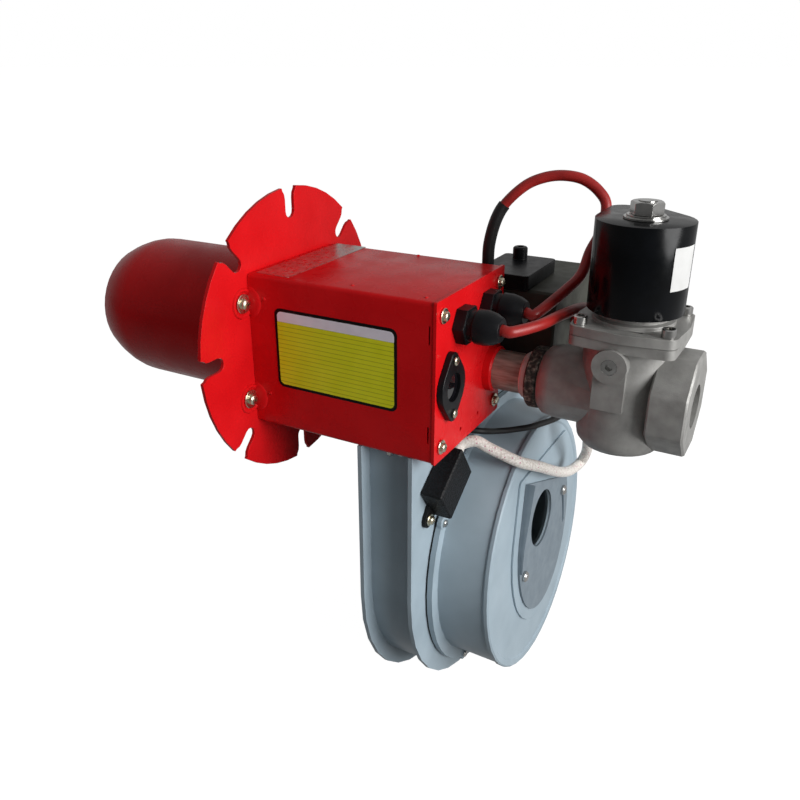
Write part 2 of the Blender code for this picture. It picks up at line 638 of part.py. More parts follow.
def valve_body():
    axis = at(VALVE_X, GAS_Y, 0)
    pipe = at(0, GAS_Y, GAS_Z) @ ALONG_X
    barrel = lathe([(0.0, BARREL_BOTTOM), (0.0190, BARREL_BOTTOM + 0.0004),
                    (0.0240, BARREL_BOTTOM + 0.0022), (0.0270, BARREL_BOTTOM + 0.0060),
                    (BARREL_RADIUS, BARREL_BOTTOM + 0.0105), (BARREL_RADIUS, BODY_TOP),
                    (0.0, BODY_TOP)], ROUND, axis)
    start = REAR_X + COUPLING_END + SEAT
    lobe = lathe([(0.0, start), (0.0195, start), (0.0225, start + 0.0030), (0.0240, start + 0.0100),
                  (0.0240, VALVE_X), (0.0, VALVE_X)], 24, pipe)
    corner = INLET_HALF / math.cos(math.pi / 8)
    octagon = arc((0, 0), corner, math.pi / 8, math.pi / 8 + math.tau, 8)[:-1]
    block = plate([(x, y + 0.0015) for x, y in octagon], [], VALVE_X + 0.0200, VALVE_X + INLET_END, pipe)
    block = soften(block, 0.0012, 1)
    boss_place = at(VALVE_X + SIDE_BOSS_X, 0, SIDE_BOSS_Z) @ ALONG_Y
    boss = cylinder((0, 0), SIDE_BOSS_RADIUS, SIDE_BOSS_FACE_Y, GAS_Y, boss_place, 20)
    rib = box((VALVE_X + SIDE_BOSS_X - 0.0095, VALVE_X + SIDE_BOSS_X + 0.0095),
              (SIDE_BOSS_FACE_Y + 0.0030, GAS_Y), (SIDE_BOSS_Z - 0.0290, SIDE_BOSS_Z))
    body = join(barrel, lobe, block, boss, rib)
    body = join(body, plate(lug_outline(BODY_FLANGE_RADIUS), [], BODY_TOP - BODY_FLANGE_THICKNESS,
                            BODY_TOP, ALONG_Z))
    chamber = cylinder((0, 0), CHAMBER_RADIUS, CHAMBER_FLOOR, BODY_TOP + 0.01, axis, 20)
    lower = cylinder((0, 0), 0.0130, -0.0420, -0.0180, axis, 16)
    seat_hole = cylinder((0, 0), SEAT_HOLE_RADIUS, -0.0300, CHAMBER_FLOOR + 0.001, axis, 16)
    socket = cylinder((0, 0), NIPPLE_RADIUS + SEAT, start - 0.001, REAR_X + NIPPLE_OUTSIDE + SEAT, pipe, 24)
    outlet = cylinder((0, 0), PORT_BORE, start, VALVE_X - 0.0145, pipe, 16)
    inlet = cylinder((0, 0), NIPPLE_RADIUS + SEAT, VALVE_X + 0.0270, VALVE_X + INLET_END + 0.001, pipe, 24)
    passage = cylinder((0, 0), PORT_BORE, VALVE_X + 0.0215, VALVE_X + 0.0280, pipe, 16)
    channel = box((VALVE_X + 0.0080, VALVE_X + 0.0240), (GAS_Y - 0.0070, GAS_Y + 0.0070),
                  (-0.0300, -0.0190))
    plug_hole = cylinder((0, 0), PLUG_RADIUS + SEAT, SIDE_BOSS_FACE_Y - 0.001,
                         SIDE_BOSS_FACE_Y + 0.0070, boss_place, 14)
    body = cut(body, chamber, lower, seat_hole, socket, outlet, inlet, passage, channel, plug_hole)
    for x, y in bolt_places():
        body = cut(body, cylinder((x, y), 0.0027, BODY_TOP - 0.01, BODY_TOP + 0.01, ALONG_Z, 12))
    node("valve_body", body, CAST_ALUMINIUM)
    depth = 0.0060
    plug_place = boss_place @ at(0, 0, SIDE_BOSS_FACE_Y + SEAT)
    plug = plate(circle((0, 0), PLUG_RADIUS, 14), [], 0.0, depth, plug_place)
    socket_hex = plate(circle((0, 0), 0.0025, 6), [], -0.001, 0.0025, plug_place)
    node("valve_side_plug", cut(plug, socket_hex), STEEL)


def valve_bonnet():
    low = BODY_TOP + SEAT
    slab = plate(lug_outline(BONNET_RADIUS), [], low, BONNET_TOP, ALONG_Z)
    axis = at(VALVE_X, GAS_Y, 0)
    boss = lathe([(0.0, low + 0.001), (BONNET_BOSS_RADIUS + 0.003, low + 0.001),
                  (BONNET_BOSS_RADIUS + 0.003, BONNET_TOP + 0.0022),
                  (BONNET_BOSS_RADIUS, BONNET_TOP + 0.0030),
                  (BONNET_BOSS_RADIUS, COIL_BOTTOM - SEAT), (0.0, COIL_BOTTOM - SEAT)], 24, axis)
    bore = cylinder((0, 0), ARMATURE_RADIUS + SEAT, 0.0, COIL_TOP, axis, 16)
    counterbore = cylinder((0, 0), 0.0132, 0.0, 0.0295, axis, 16)
    holes = [cylinder(place, 0.0027, 0.0, COIL_BOTTOM, ALONG_Z, 12) for place in bolt_places()]
    node("valve_bonnet", cut(join(slab, boss), bore, counterbore, *holes), CAST_ALUMINIUM)
    for number, (x, y) in enumerate(bolt_places(), 1):
        seat = BONNET_TOP + SEAT
        profile = [(0.0, BODY_TOP - 0.0055), (0.0024, BODY_TOP - 0.0055), (0.0024, seat),
                   (0.0042, seat), (0.0042, seat + 0.0045), (0.0036, seat + 0.0050),
                   (0.0022, seat + 0.0050), (0.0022, seat + 0.0025), (0.0, seat + 0.0025)]
        bolt = lathe(profile, 12, at(x, y, 0))
        node(f"bonnet_bolt_{number}", bolt, STEEL, (x, y, seat))


def armature_tube():
    low, high = ARMATURE_FLANGE_LOW, 0.0895
    stud = 0.0050
    profile = [(ARMATURE_BORE, low), (0.0128, low), (0.0128, 0.0293), (ARMATURE_RADIUS, 0.0293),
               (ARMATURE_RADIUS, COIL_TOP - 0.0005), (stud, COIL_TOP - 0.0005),
               (stud, NUT_TOP + 0.0005), (0.0, NUT_TOP + 0.0005), (0.0, high), (ARMATURE_BORE, high)]
    node("armature_tube", lathe(profile, 16, at(VALVE_X, GAS_Y, 0)), STEEL)


def solenoid_coil():
    low, high = COIL_BOTTOM, COIL_TOP
    far_y = GAS_Y + TERMINAL_BOX_DEPTH - TERMINAL_BOX_CORNER
    corners = [VALVE_X - COIL_RADIUS + TERMINAL_BOX_CORNER, VALVE_X + TERMINAL_BOX_SIDE - TERMINAL_BOX_CORNER]
    outline = hull([((VALVE_X, GAS_Y), COIL_RADIUS)]
                   + [((x, far_y), TERMINAL_BOX_CORNER) for x in corners], ROUND)
    case = soften(plate(outline, [], low, high, ALONG_Z), 0.0014, 2, math.radians(60))
    axis = at(VALVE_X, GAS_Y, 0)
    node("solenoid_coil", cut(case, cylinder((0, 0), COIL_BORE, 0.0, BIG, axis, 16)), BLACK_PLASTIC)
    washer = [(0.0053, high + SEAT), (0.0128, high + SEAT), (0.0128, high + 0.0014), (0.0112, high + 0.0014),
              (0.0112, high + 0.0026), (0.0053, high + 0.0026)]
    node("coil_washer", lathe(washer, 20, axis), STEEL)
    corner = NUT_FLATS / math.sqrt(3)
    nut = plate(circle((0, 0), corner, 6), [], high + 0.0028, NUT_TOP, axis)
    dome = lathe([(0.0, high), (corner + 0.002, high), (corner + 0.002, NUT_TOP - 0.0024),
                  (corner - 0.0014, NUT_TOP + 0.0002), (0.0, NUT_TOP + 0.0002)], 18, axis)
    nut = boolean(nut, dome, "INTERSECT")
    node("coil_nut", cut(nut, cylinder((0, 0), 0.0053, 0.0, 0.2, axis, 16)), STEEL)


def valve_plunger():
    low = CHAMBER_FLOOR + SEAT
    profile = [(0.0, low), (0.0120, low), (0.0120, low + 0.0034), (0.0048, low + 0.0042),
               (0.0048, 0.0040), (PLUNGER_RADIUS, 0.0055), (PLUNGER_RADIUS, 0.0840), (0.0, 0.0840)]
    node("valve_plunger", lathe(profile, 20, at(VALVE_X, GAS_Y, 0)), STEEL,
         (VALVE_X, GAS_Y, low))
    start = low + 0.0042 + SPRING_WIRE + SEAT
    end = ARMATURE_FLANGE_LOW - SPRING_WIRE - SEAT
    count = SPRING_TURNS * 10
    chain = []
    for i in range(count + 1):
        angle = math.tau * SPRING_TURNS * i / count
        chain.append((VALVE_X + SPRING_RADIUS * math.cos(angle),
                      GAS_Y + SPRING_RADIUS * math.sin(angle), start + (end - start) * i / count))
    cord("plunger_spring", chain, SPRING_WIRE, STEEL, 0)


def gas_lance():
    """Hollow pipe from inside the nipple to the nozzle on the burner axis."""
    start = REAR_X - 0.0050
    route = [(start, GAS_Y, GAS_Z), (start - 0.012, GAS_Y, GAS_Z),
             (start - 0.030, 0.90 * GAS_Y, 0.90 * GAS_Z),
             (start - 0.070, 0.12 * GAS_Y, 0.12 * GAS_Z), (start - 0.090, 0.0, 0.0), (0.0, 0.0, 0.0),
             (NOZZLE_BACK_X - 0.008, 0.0, 0.0)]
    chain = smooth_route(route, 0.017)
    sides = 14
    outer, inner = [], []
    for i, point in enumerate(chain):
        ahead = chain[min(i + 1, len(chain) - 1)] - chain[max(i - 1, 0)]
        side = ahead.cross(Vector((0, 0, 1))).normalized()
        up = side.cross(ahead).normalized()
        for rows, radius in ((outer, LANCE_RADIUS), (inner, LANCE_RADIUS - LANCE_WALL)):
            rows.append([point + radius * (math.cos(math.tau * k / sides) * side
                                           + math.sin(math.tau * k / sides) * up)
                         for k in range(sides)])
    node("gas_lance", ring_loft(outer + inner[::-1]), STEEL)


def gas_nozzle():
    back, front = NOZZLE_BACK_X, NOZZLE_FRONT_X
    bore = LANCE_RADIUS + SEAT
    profile = [(bore, back), (0.0125, back), (NOZZLE_RADIUS, back - 0.002), (NOZZLE_RADIUS, front + 0.003),
               (0.0110, front), (0.0, front), (0.0, front + 0.0035), (0.0095, front + 0.0035),
               (0.0095, back - 0.0082), (bore, back - 0.0082)]
    head = lathe(profile, 18, ALONG_X)
    for i in range(4):
        turn = Matrix.Rotation(math.pi / 4 * i + math.pi / 8, 4, "X")
        port = cylinder((0, 0), 0.0016, -0.03, 0.03, at(front + 0.0075, 0, 0) @ turn, 6)
        head = cut(head, port)
    node("gas_nozzle", head, STEEL)
    slots = []
    for i in range(8):
        angle = math.tau * (i + 0.5) / 8
        slot = hull([((0.0220, 0.0), 0.0012), ((0.0370, 0.0030), 0.0020)], 8)
        c, s = math.cos(angle), math.sin(angle)
        slots.append([(x * c - y * s, x * s + y * c) for x, y in slot])
    holes = [circle((0, 0), NOZZLE_RADIUS + SEAT, 20)] + slots
    holes += [circle((side * ELECTRODE_Y, ELECTRODE_Z), INSULATOR_RADIUS + LOOSE, 12) for side in (-1, 1)]
    disc = plate(circle((0, 0), DIFFUSER_RADIUS, 32), holes, DIFFUSER_X - 0.0015, DIFFUSER_X, ALONG_X)
    node("diffuser_disc", disc, STEEL)


def electrode(name, side):
    """Ceramic rod along the tube and the bent wire that leaves its front end."""
    y, z = side * ELECTRODE_Y, ELECTRODE_Z
    place = at(0, y, z) @ ALONG_X
    front, back = INSULATOR_FRONT_X, INSULATOR_BACK_X
    shoulder = INSULATOR_RADIUS + 0.0012
    profile = [(0.0, front), (INSULATOR_RADIUS - 0.0012, front), (INSULATOR_RADIUS, front + 0.003),
               (INSULATOR_RADIUS, DIFFUSER_X + 0.004), (shoulder, DIFFUSER_X + 0.006),
               (shoulder, DIFFUSER_X + 0.016), (INSULATOR_RADIUS, DIFFUSER_X + 0.018),
               (INSULATOR_RADIUS, back), (0.0, back)]
    pocket = cylinder((0, 0), ELECTRODE_ROD + SEAT, front - 0.001, front + 0.012, place, 10)
    node(f"{name}_insulator", cut(lathe(profile, 16, place), pocket), CERAMIC)
    tip = [(front + 0.0115, y, z), (front + 0.002, y, z), (front - 0.003, y, z), (front - 0.008, y, z),
           (front - 0.016, 0.82 * y, 0.82 * z),
           (front - 0.024, 0.62 * y, 0.62 * z)]
    cord(f"{name}_rod", smooth_route(tip, 0.0045), ELECTRODE_ROD, STEEL, 1)


def ignition_transformer():
    case = soften(box(TRANSFORMER_X, (TRANSFORMER_NEAR_Y, TRANSFORMER_FAR_Y), TRANSFORMER_Z), 0.0015, 1)
    foot = box((TRANSFORMER_X[0] + 0.002, REAR_X - 0.004), (TRANSFORMER_FOOT_Y, TRANSFORMER_NEAR_Y + 0.003),
               (TRANSFORMER_Z[0] + 0.003, TRANSFORMER_Z[1] - 0.003))
    node("ignition_transformer", join(case, foot), DARK_PLASTIC)
    low = TRANSFORMER_Z[1] + SEAT
    lid = soften(plate(rounded_rectangle(LID_X, LID_Y, 0.003), [], low, LID_TOP, ALONG_Z), 0.0008, 1)
    spare = lathe([(0.0, LID_TOP - 0.002), (OUTLET_RADIUS, LID_TOP - 0.002),
                   (OUTLET_RADIUS, LID_TOP + OUTLET_HEIGHT - 0.001),
                   (OUTLET_RADIUS - 0.001, LID_TOP + OUTLET_HEIGHT),
                   (0.0, LID_TOP + OUTLET_HEIGHT)], 20, at(*OUTLET_SPARE, 0))
    contact = cylinder(OUTLET_SPARE, 0.0022, LID_TOP + 0.003, LID_TOP + 0.02, ALONG_Z, 12)
    node("transformer_lid", cut(join(lid, spare), contact), BLACK_PLASTIC)


# Cords

def through_gland(centre):
    """Straight stretch of a cable through its gland, from outside to inside."""
    return [(REAR_X + x, *centre) for x in (GLAND_LENGTH + 0.006, GLAND_LENGTH + 0.001, 0.0, -0.013, -0.024)]


def ignition_cable():
    x, y = OUTLET_FRONT
    route = [(x, y, LID_TOP + LOOSE), (x, y + 0.001, 0.0600), (x + 0.003, y + 0.0035, 0.0760),
             (x + 0.0085, y + 0.007, 0.0875), (x + 0.020, y + 0.011, 0.0990),
             (x + 0.0316, y + 0.0145, 0.1044), (x + 0.0437, y + 0.0165, 0.1062),
             (x + 0.0563, y + 0.0175, 0.1045), (x + 0.0670, y + 0.0175, 0.0981),
             (x + 0.0735, y + 0.0155, 0.0893), (x + 0.0731, y + 0.0090, 0.0738),
             (x + 0.0696, y + 0.0015, 0.0620), (x + 0.0680, y - 0.0085, 0.0491),
             (x + 0.0618, y - 0.0215, 0.0405)]
    route += through_gland(GLAND_FAR)
    route += [(REAR_X - 0.060, ELECTRODE_Y + 0.001, ELECTRODE_Z + 0.004)]
    route += [(REAR_X - 0.100, ELECTRODE_Y, ELECTRODE_Z),
              (INSULATOR_BACK_X + LOOSE, ELECTRODE_Y, ELECTRODE_Z)]
    cord("ignition_cable", smooth_route(route, 0.011), CABLE_RADIUS, RED_SILICONE)


def sensor_cable():
    route = [(INSULATOR_BACK_X + LOOSE, -ELECTRODE_Y, ELECTRODE_Z),
             (REAR_X - 0.100, -ELECTRODE_Y, ELECTRODE_Z),
             (REAR_X - 0.060, -ELECTRODE_Y + 0.001, ELECTRODE_Z + 0.004)]
    route += through_gland(GLAND_NEAR)[::-1]
    route += [(REAR_X + 0.0435, 0.000, 0.0315), (REAR_X + 0.0490, 0.024, 0.0318),
              (REAR_X + 0.0525, 0.048, 0.0300),
             (REAR_X + 0.0535, 0.070, 0.0240), (REAR_X + 0.0470, 0.088, 0.0130),
             (TRANSFORMER_X[1] + 0.0050, 0.0935, 0.0085), (TRANSFORMER_X[1] + LOOSE, 0.0935, 0.0085)]
    cord("sensor_cable", smooth_route(route, 0.012), CABLE_RADIUS, RED_SILICONE)


def capacitor_place():
    """Frame on the joint plate: X down the capacitor's length, Y across it, Z outwards."""
    base = at(SCROLL_JOINT_X + SEAT, *CAPACITOR_CORNER) @ ALONG_X
    return base @ Matrix.Rotation(CAPACITOR_ANGLE, 4, "Z") @ Matrix.Scale(-1, 4, (0, 1, 0))


def capacitor_lead():
    """White sleeved lead from the capacitor round the front shell to the coil."""
    place, across, depth = capacitor_place(), 0.72 * CAPACITOR_WIDTH, 0.0088
    start, second = (place @ Vector((x, across, depth)) for x in (-LOOSE, -0.0070))
    coil_back = GAS_Y + TERMINAL_BOX_DEPTH
    route = [tuple(start), tuple(second), (REAR_X + 0.0010, 0.0105, -0.0605),
             (REAR_X + 0.0085, 0.0150, -0.0655),
             (REAR_X + 0.0160, 0.0190, -0.0700), (REAR_X + 0.0275, 0.0270, -0.0775),
             (REAR_X + 0.0360, 0.0461, -0.0880), (REAR_X + 0.0385, 0.0815, -0.1083),
             (REAR_X + 0.0400, 0.1085, -0.1200), (REAR_X + 0.0430, 0.1270, -0.1205),
             (REAR_X + 0.0475, 0.1240, -0.1090), (REAR_X + 0.0510, 0.1120, -0.0930),
             (REAR_X + 0.0540, 0.1000, -0.0650), (REAR_X + 0.0620, 0.0900, -0.0280),
             (COIL_LEAD_X - 0.0090, coil_back + 0.0165, 0.0050),
             (COIL_LEAD_X - 0.0040, coil_back + 0.0195, 0.0240),
             (COIL_LEAD_X - 0.0010, coil_back + 0.0190, 0.0400),
             (COIL_LEAD_X, coil_back + 0.0130, COIL_LEAD_Z - 0.0045),
             (COIL_LEAD_X, coil_back + 0.0050, COIL_LEAD_Z), (COIL_LEAD_X, coil_back + LOOSE, COIL_LEAD_Z)]
    cord("capacitor_lead", smooth_route(route, 0.011), SLEEVE_RADIUS, WHITE_SLEEVE)


def motor_lead():
    """Black lead from the stator through the joint plate, over the shell to the transformer."""
    reach = Vector((LEAD_HOLE[0] - FAN_Y, LEAD_HOLE[1] - FAN_Z)).normalized()
    x = STATOR_X + 0.0026
    start = STATOR_RADIUS + LOOSE
    route = [(x, FAN_Y + reach.x * start, FAN_Z + reach.y * start),
             (x, FAN_Y + reach.x * 0.075, FAN_Z + reach.y * 0.075),
             (x + 0.002, FAN_Y + reach.x * 0.100, FAN_Z + reach.y * 0.100),
             (x + 0.014, LEAD_HOLE[0] + 0.0015, LEAD_HOLE[1] - 0.0015),
             (SCROLL_JOINT_X - 0.006, *LEAD_HOLE), (SCROLL_JOINT_X + 0.004, *LEAD_HOLE),
             (REAR_X - 0.002, 0.0275, -0.0610), (REAR_X + 0.0040, 0.0400, -0.0650),
             (REAR_X + 0.0142, 0.0500, -0.0655), (REAR_X + 0.0262, 0.0610, -0.0640),
             (REAR_X + 0.0360, 0.0860, -0.0640), (REAR_X + 0.0380, 0.1010, -0.0560),
             (REAR_X + 0.0300, 0.1080, -0.0450), (REAR_X + 0.0260, 0.1080, TRANSFORMER_Z[0] - 0.0050),
             (REAR_X + 0.0260, 0.1080, TRANSFORMER_Z[0] - LOOSE)]
    cord("motor_lead", smooth_route(route, 0.008), MOTOR_LEAD_RADIUS, RUBBER)


# Blower

def scroll_outline(centre, radius, top, steps=24):
    """Circle squared up on the near side to a flat top."""
    end = math.tau + math.asin(min(1.0, (top - centre[1]) / radius))
    return [(centre[0] - radius, top)] + arc(centre, radius, math.pi, end, steps)


def fan_back_housing():
    back, joint, wall = SCROLL_BACK_X, SCROLL_JOINT_X, SCROLL_PLATE
    back_plate = plate(scroll_outline(BACK_PLATE_CENTRE, BACK_PLATE_RADIUS, SCROLL_TOP),
                       [], back, back + wall, ALONG_X)
    web = plate(scroll_outline(WEB_CENTRE, WEB_RADIUS, SCROLL_TOP - 0.0002),
                [], back + wall / 2, joint - wall / 2, ALONG_X)
    joint_plate = plate(scroll_outline(JOINT_PLATE_CENTRE, JOINT_PLATE_RADIUS, SCROLL_TOP),
                        [], joint - wall, joint, ALONG_X)
    cavity = plate(scroll_outline(WEB_CENTRE, WEB_RADIUS - WEB_WALL, SCROLL_TOP - WEB_WALL),
                   [], back + wall, joint - wall, ALONG_X)
    opening = cylinder((SHELL_CENTRE[0] - 0.002, SHELL_CENTRE[1]), SHELL_OPENING_RADIUS, joint - 2 * wall,
                       joint + wall, ALONG_X, ROUND)
    throat = box((OUTLET_X[0] + 0.001, OUTLET_X[1] - 0.001), (OUTLET_Y[0] + 0.001, OUTLET_Y[1] - 0.001),
                 (SCROLL_TOP - 2 * WEB_WALL, SCROLL_TOP + WEB_WALL))
    lead = cylinder(LEAD_HOLE, MOTOR_LEAD_RADIUS + LOOSE, joint - 2 * wall, joint + wall, ALONG_X, 12)
    ear_screw = capacitor_place() @ Vector((*CAPACITOR_HOLE, 0.0))
    thread = cylinder((ear_screw.y, ear_screw.z), 0.0019, joint - 2 * wall, joint + wall, ALONG_X, 12)
    body = cut(join(back_plate, web, joint_plate), cavity, opening, throat, lead, thread)
    node("fan_back_housing", body, GREY_PAINT)


def fan_joint_gasket():
    low = SCROLL_JOINT_X + SEAT
    outline = circle(SHELL_FLANGE_CENTRE, SHELL_FLANGE_RADIUS - 0.0005, 40)
    hole = circle(SHELL_CENTRE, SHELL_RADIUS - 0.0015, 40)
    node("fan_joint_gasket", plate(outline, [hole], low, low + GASKET_THICKNESS, ALONG_X), RUBBER)


def fan_front_housing():
    sides = 44

    def flat_ring(centre, radius, x):
        return [Vector((x, y, z)) for y, z in circle(centre, radius, sides)]

    def face_ring(centre, radius, depth):
        return [ON_FACE @ Vector((u, v, depth)) for u, v in circle(centre, radius, sides)]

    back, middle = SHELL_BACK_X, (0.0, 0.0)
    bead = FACE_RADIUS + FACE_BEAD
    rings = [flat_ring(SHELL_FLANGE_CENTRE, SHELL_FLANGE_RADIUS, back),
             flat_ring(SHELL_FLANGE_CENTRE, SHELL_FLANGE_RADIUS, back + SHELL_FLANGE_THICKNESS),
             flat_ring(SHELL_CENTRE, SHELL_RADIUS, back + SHELL_FLANGE_THICKNESS),
             face_ring(middle, FACE_RADIUS, -0.0042), face_ring(middle, bead, -0.0034),
             face_ring(middle, bead, -0.0010), face_ring(middle, FACE_RADIUS, 0.0),
             face_ring(middle, FACE_RADIUS - 0.0040, 0.0),
             face_ring(middle, FACE_RADIUS - 0.0052, -FACE_STEP),
             face_ring(INLET_HOLE, INLET_HOLE_RADIUS + 0.003, -FACE_STEP),
             face_ring(INLET_HOLE, INLET_HOLE_RADIUS + 0.003, -FACE_STEP - SHELL_WALL),
             face_ring(middle, FACE_RADIUS - SHELL_WALL, -FACE_STEP - SHELL_WALL),
             flat_ring(SHELL_CENTRE, SHELL_RADIUS - SHELL_WALL, back)]
    holes = [cylinder(centre, SHUTTER_SCREW_RADIUS + SEAT, -0.02, 0.02, ON_FACE, 12)
             for centre in (SHUTTER_PIVOT, SHUTTER_CLAMP)]
    node("fan_front_housing", cut(ring_loft(rings), *holes), GREY_PAINT)


def inlet_outline(inset):
    """D shape: straight top, spreading sides and an oval bottom."""
    middle, low = 0.008, 0.006
    half, deep = 0.0635 - inset, 0.0760 - inset
    top, half_top, corner = 0.071 - 0.2 * inset, 0.051 - inset, 0.003
    outline = arc((middle - half_top + corner, top - corner), corner, math.pi / 2, math.pi, 2)
    outline += [(middle + half * x, low + deep * y)
                for x, y in arc((0.0, 0.0), 1.0, math.pi * 0.93, math.pi * 2.07, 20)]
    outline += arc((middle + half_top - corner, top - corner), corner, 0.0, math.pi / 2, 2)
    return outline


def inlet_plates():
    low = -FACE_STEP + SEAT
    high = low + INLET_PLATE_THICKNESS
    places = (SHUTTER_PIVOT, SHUTTER_CLAMP)
    air = circle(INLET_HOLE, INLET_HOLE_RADIUS, 32)
    holes = [circle(centre, SHUTTER_SCREW_RADIUS + SEAT, 12) for centre in places]
    fixed = plate(inlet_outline(0.0), [air] + holes, low, high, ON_FACE)
    node("inlet_plate", fixed, GREY_PAINT)
    seat, top = high + SEAT, high + SEAT + SHUTTER_THICKNESS
    reach = math.dist(SHUTTER_PIVOT, SHUTTER_CLAMP)
    clamp = math.atan2(SHUTTER_CLAMP[1] - SHUTTER_PIVOT[1], SHUTTER_CLAMP[0] - SHUTTER_PIVOT[0])
    swing = math.radians(SHUTTER_SWING_DEG)
    half = SHUTTER_SCREW_RADIUS + LOOSE
    slot = arc(SHUTTER_PIVOT, reach + half, clamp - swing, clamp, 6)
    end = (SHUTTER_PIVOT[0] + reach * math.cos(clamp), SHUTTER_PIVOT[1] + reach * math.sin(clamp))
    slot += arc(end, half, clamp, clamp + math.pi, 4)[1:-1]
    slot += arc(SHUTTER_PIVOT, reach - half, clamp, clamp - swing, 6)
    first = (SHUTTER_PIVOT[0] + reach * math.cos(clamp - swing),
             SHUTTER_PIVOT[1] + reach * math.sin(clamp - swing))
    slot += arc(first, half, clamp - swing + math.pi, clamp - swing + math.tau, 4)[1:-1]
    pivot_hole = circle(SHUTTER_PIVOT, SHUTTER_SCREW_RADIUS + SEAT, 16)
    moving = plate(inlet_outline(SHUTTER_INSET), [air, slot, pivot_hole], seat, top, ON_FACE)
    pivot = ON_FACE @ Vector((*SHUTTER_PIVOT, seat))
    node("air_shutter", moving, GREY_PAINT, pivot)
    for name, (u, v) in zip(("shutter_pivot_screw", "shutter_clamp_screw"), places):
        place = ON_FACE @ at(u, v, top + SEAT)
        screw(name, place, 0.0, 0.0042, 0.0030, SHUTTER_SCREW_RADIUS, 0.012, STEEL)


def run_capacitor():
    place = capacitor_place()
    outline = [(0.0, 0.0), (CAPACITOR_LENGTH, 0.0), (CAPACITOR_LENGTH, CAPACITOR_WIDTH),
               (0.0, CAPACITOR_WIDTH)]
    block = plate(outline, [], 0.0, CAPACITOR_DEPTH, place)
    block = soften(block, 0.0010, 1)
    hole_x, hole_y = CAPACITOR_HOLE
    ear_outline = hull([((hole_x, hole_y), CAPACITOR_EAR_RADIUS),
                        ((CAPACITOR_LENGTH - 0.010, 0.0085), 0.0080)], 20)
    ear = plate(ear_outline, [], SEAT, CAPACITOR_EAR_THICKNESS, place)
    hole = cylinder(CAPACITOR_HOLE, 0.0021, -0.01, 0.01, place, 12)
    node("run_capacitor", cut(join(block, ear), hole), BLACK_PLASTIC)
    seat = place @ at(hole_x, hole_y, CAPACITOR_EAR_THICKNESS + SEAT)
    upright = at(*seat.translation) @ ALONG_X
    screw("capacitor_screw", upright, 0.0042, 0.0034, 0.0026, 0.0017, 0.006)


def impeller_and_motor():
    axis = at(0, FAN_Y, FAN_Z) @ ALONG_X
    back, front, rim = IMPELLER_BACK_X, IMPELLER_FRONT_X, IMPELLER_RIM
    hub = ROTOR_RADIUS + SEAT
    profile = [(hub, back), (IMPELLER_RADIUS, back), (IMPELLER_RADIUS, front), (IMPELLER_INNER, front),
               (IMPELLER_INNER, back + rim), (hub, back + rim)]
    wheel = lathe(profile, 36, axis)
    windows = bmesh.new()
    pitch = math.tau / IMPELLER_BLADES
    half = 0.42 * pitch
    lean = 0.10
    for i in range(IMPELLER_BLADES):
        angle = i * pitch
        corners = [(IMPELLER_INNER - 0.002, angle - half), (IMPELLER_INNER - 0.002, angle + half),
                   (IMPELLER_RADIUS + 0.002, angle + half + lean),
                   (IMPELLER_RADIUS + 0.002, angle - half + lean)]
        outline = [(r * math.cos(a), r * math.sin(a)) for r, a in corners]
        window = plate(outline, [], back + rim + 0.0004, front - rim, axis)
        data = bpy.data.meshes.new("window")
        window.to_mesh(data)
        window.free()
        windows.from_mesh(data)
        bpy.data.meshes.remove(data)
    node("fan_impeller", cut(wheel, windows), DARK_PLASTIC, (back, FAN_Y, FAN_Z))
    low, high = ROTOR_X
    cap = 0.002
    rotor = [(ROTOR_RADIUS - ROTOR_WALL, low), (ROTOR_RADIUS, low), (ROTOR_RADIUS, high - 0.001),
             (ROTOR_RADIUS - 0.001, high), (SHAFT_RADIUS + SEAT, high), (SHAFT_RADIUS + SEAT, high - cap),
             (ROTOR_RADIUS - ROTOR_WALL, high - cap)]
    node("motor_rotor", lathe(rotor, 28, axis), STEEL, (low, FAN_Y, FAN_Z))
    base, core_end = STATOR_X + STATOR_BASE, high - cap - 0.0015
    bore = SHAFT_RADIUS + LOOSE
    stator = [(bore, STATOR_X), (STATOR_RADIUS, STATOR_X), (STATOR_RADIUS, base), (STATOR_CORE_RADIUS, base),
              (STATOR_CORE_RADIUS, core_end), (bore, core_end)]
    node("motor_stator", lathe(stator, 28, axis), CAST_ALUMINIUM)
    shaft = [(0.0, STATOR_X + 0.001), (SHAFT_RADIUS, STATOR_X + 0.001), (SHAFT_RADIUS, high + 0.003),
             (SHAFT_RADIUS - 0.0008, high + 0.004), (0.0, high + 0.004)]
    node("motor_shaft", lathe(shaft, 16, axis), STEEL, (low, FAN_Y, FAN_Z))


def build():
    for obj in list(bpy.data.objects):
        bpy.data.objects.remove(obj)
    burner_tube()
    mounting_flange()
    flange_screws()
    burner_housing()
    rear_plate()
    sight_window()
    cable_gland("near_cable_gland", GLAND_NEAR)
    cable_gland("far_cable_gland", GLAND_FAR)
    gas_nipple()
    valve_body()
    valve_bonnet()
    armature_tube()
    solenoid_coil()
    valve_plunger()
    gas_lance()
    gas_nozzle()
    electrode("igniter", 1)
    electrode("flame_sensor", -1)
    ignition_transformer()
    ignition_cable()
    sensor_cable()
    capacitor_lead()
    motor_lead()
    fan_back_housing()
    fan_joint_gasket()
    fan_front_housing()
    inlet_plates()
    run_capacitor()
    impeller_and_motor()


build()
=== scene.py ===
# %% [markdown]
# # An industrial gas burner
# The burner is a sheet-steel box with a flame tube and a slotted flange on one end, a cast gas
# valve on the other, an ignition transformer behind and a blower hanging below. The solids come
# from the frame. This lesson gives them paint, metal and plastic, rounds their edges, and adds
# the parts that are too fine for the solids: screw recesses, rivets, labels and leads.

# %% Load the solids
import json
import math

import bmesh
import bpy
from mathutils import Matrix, Vector


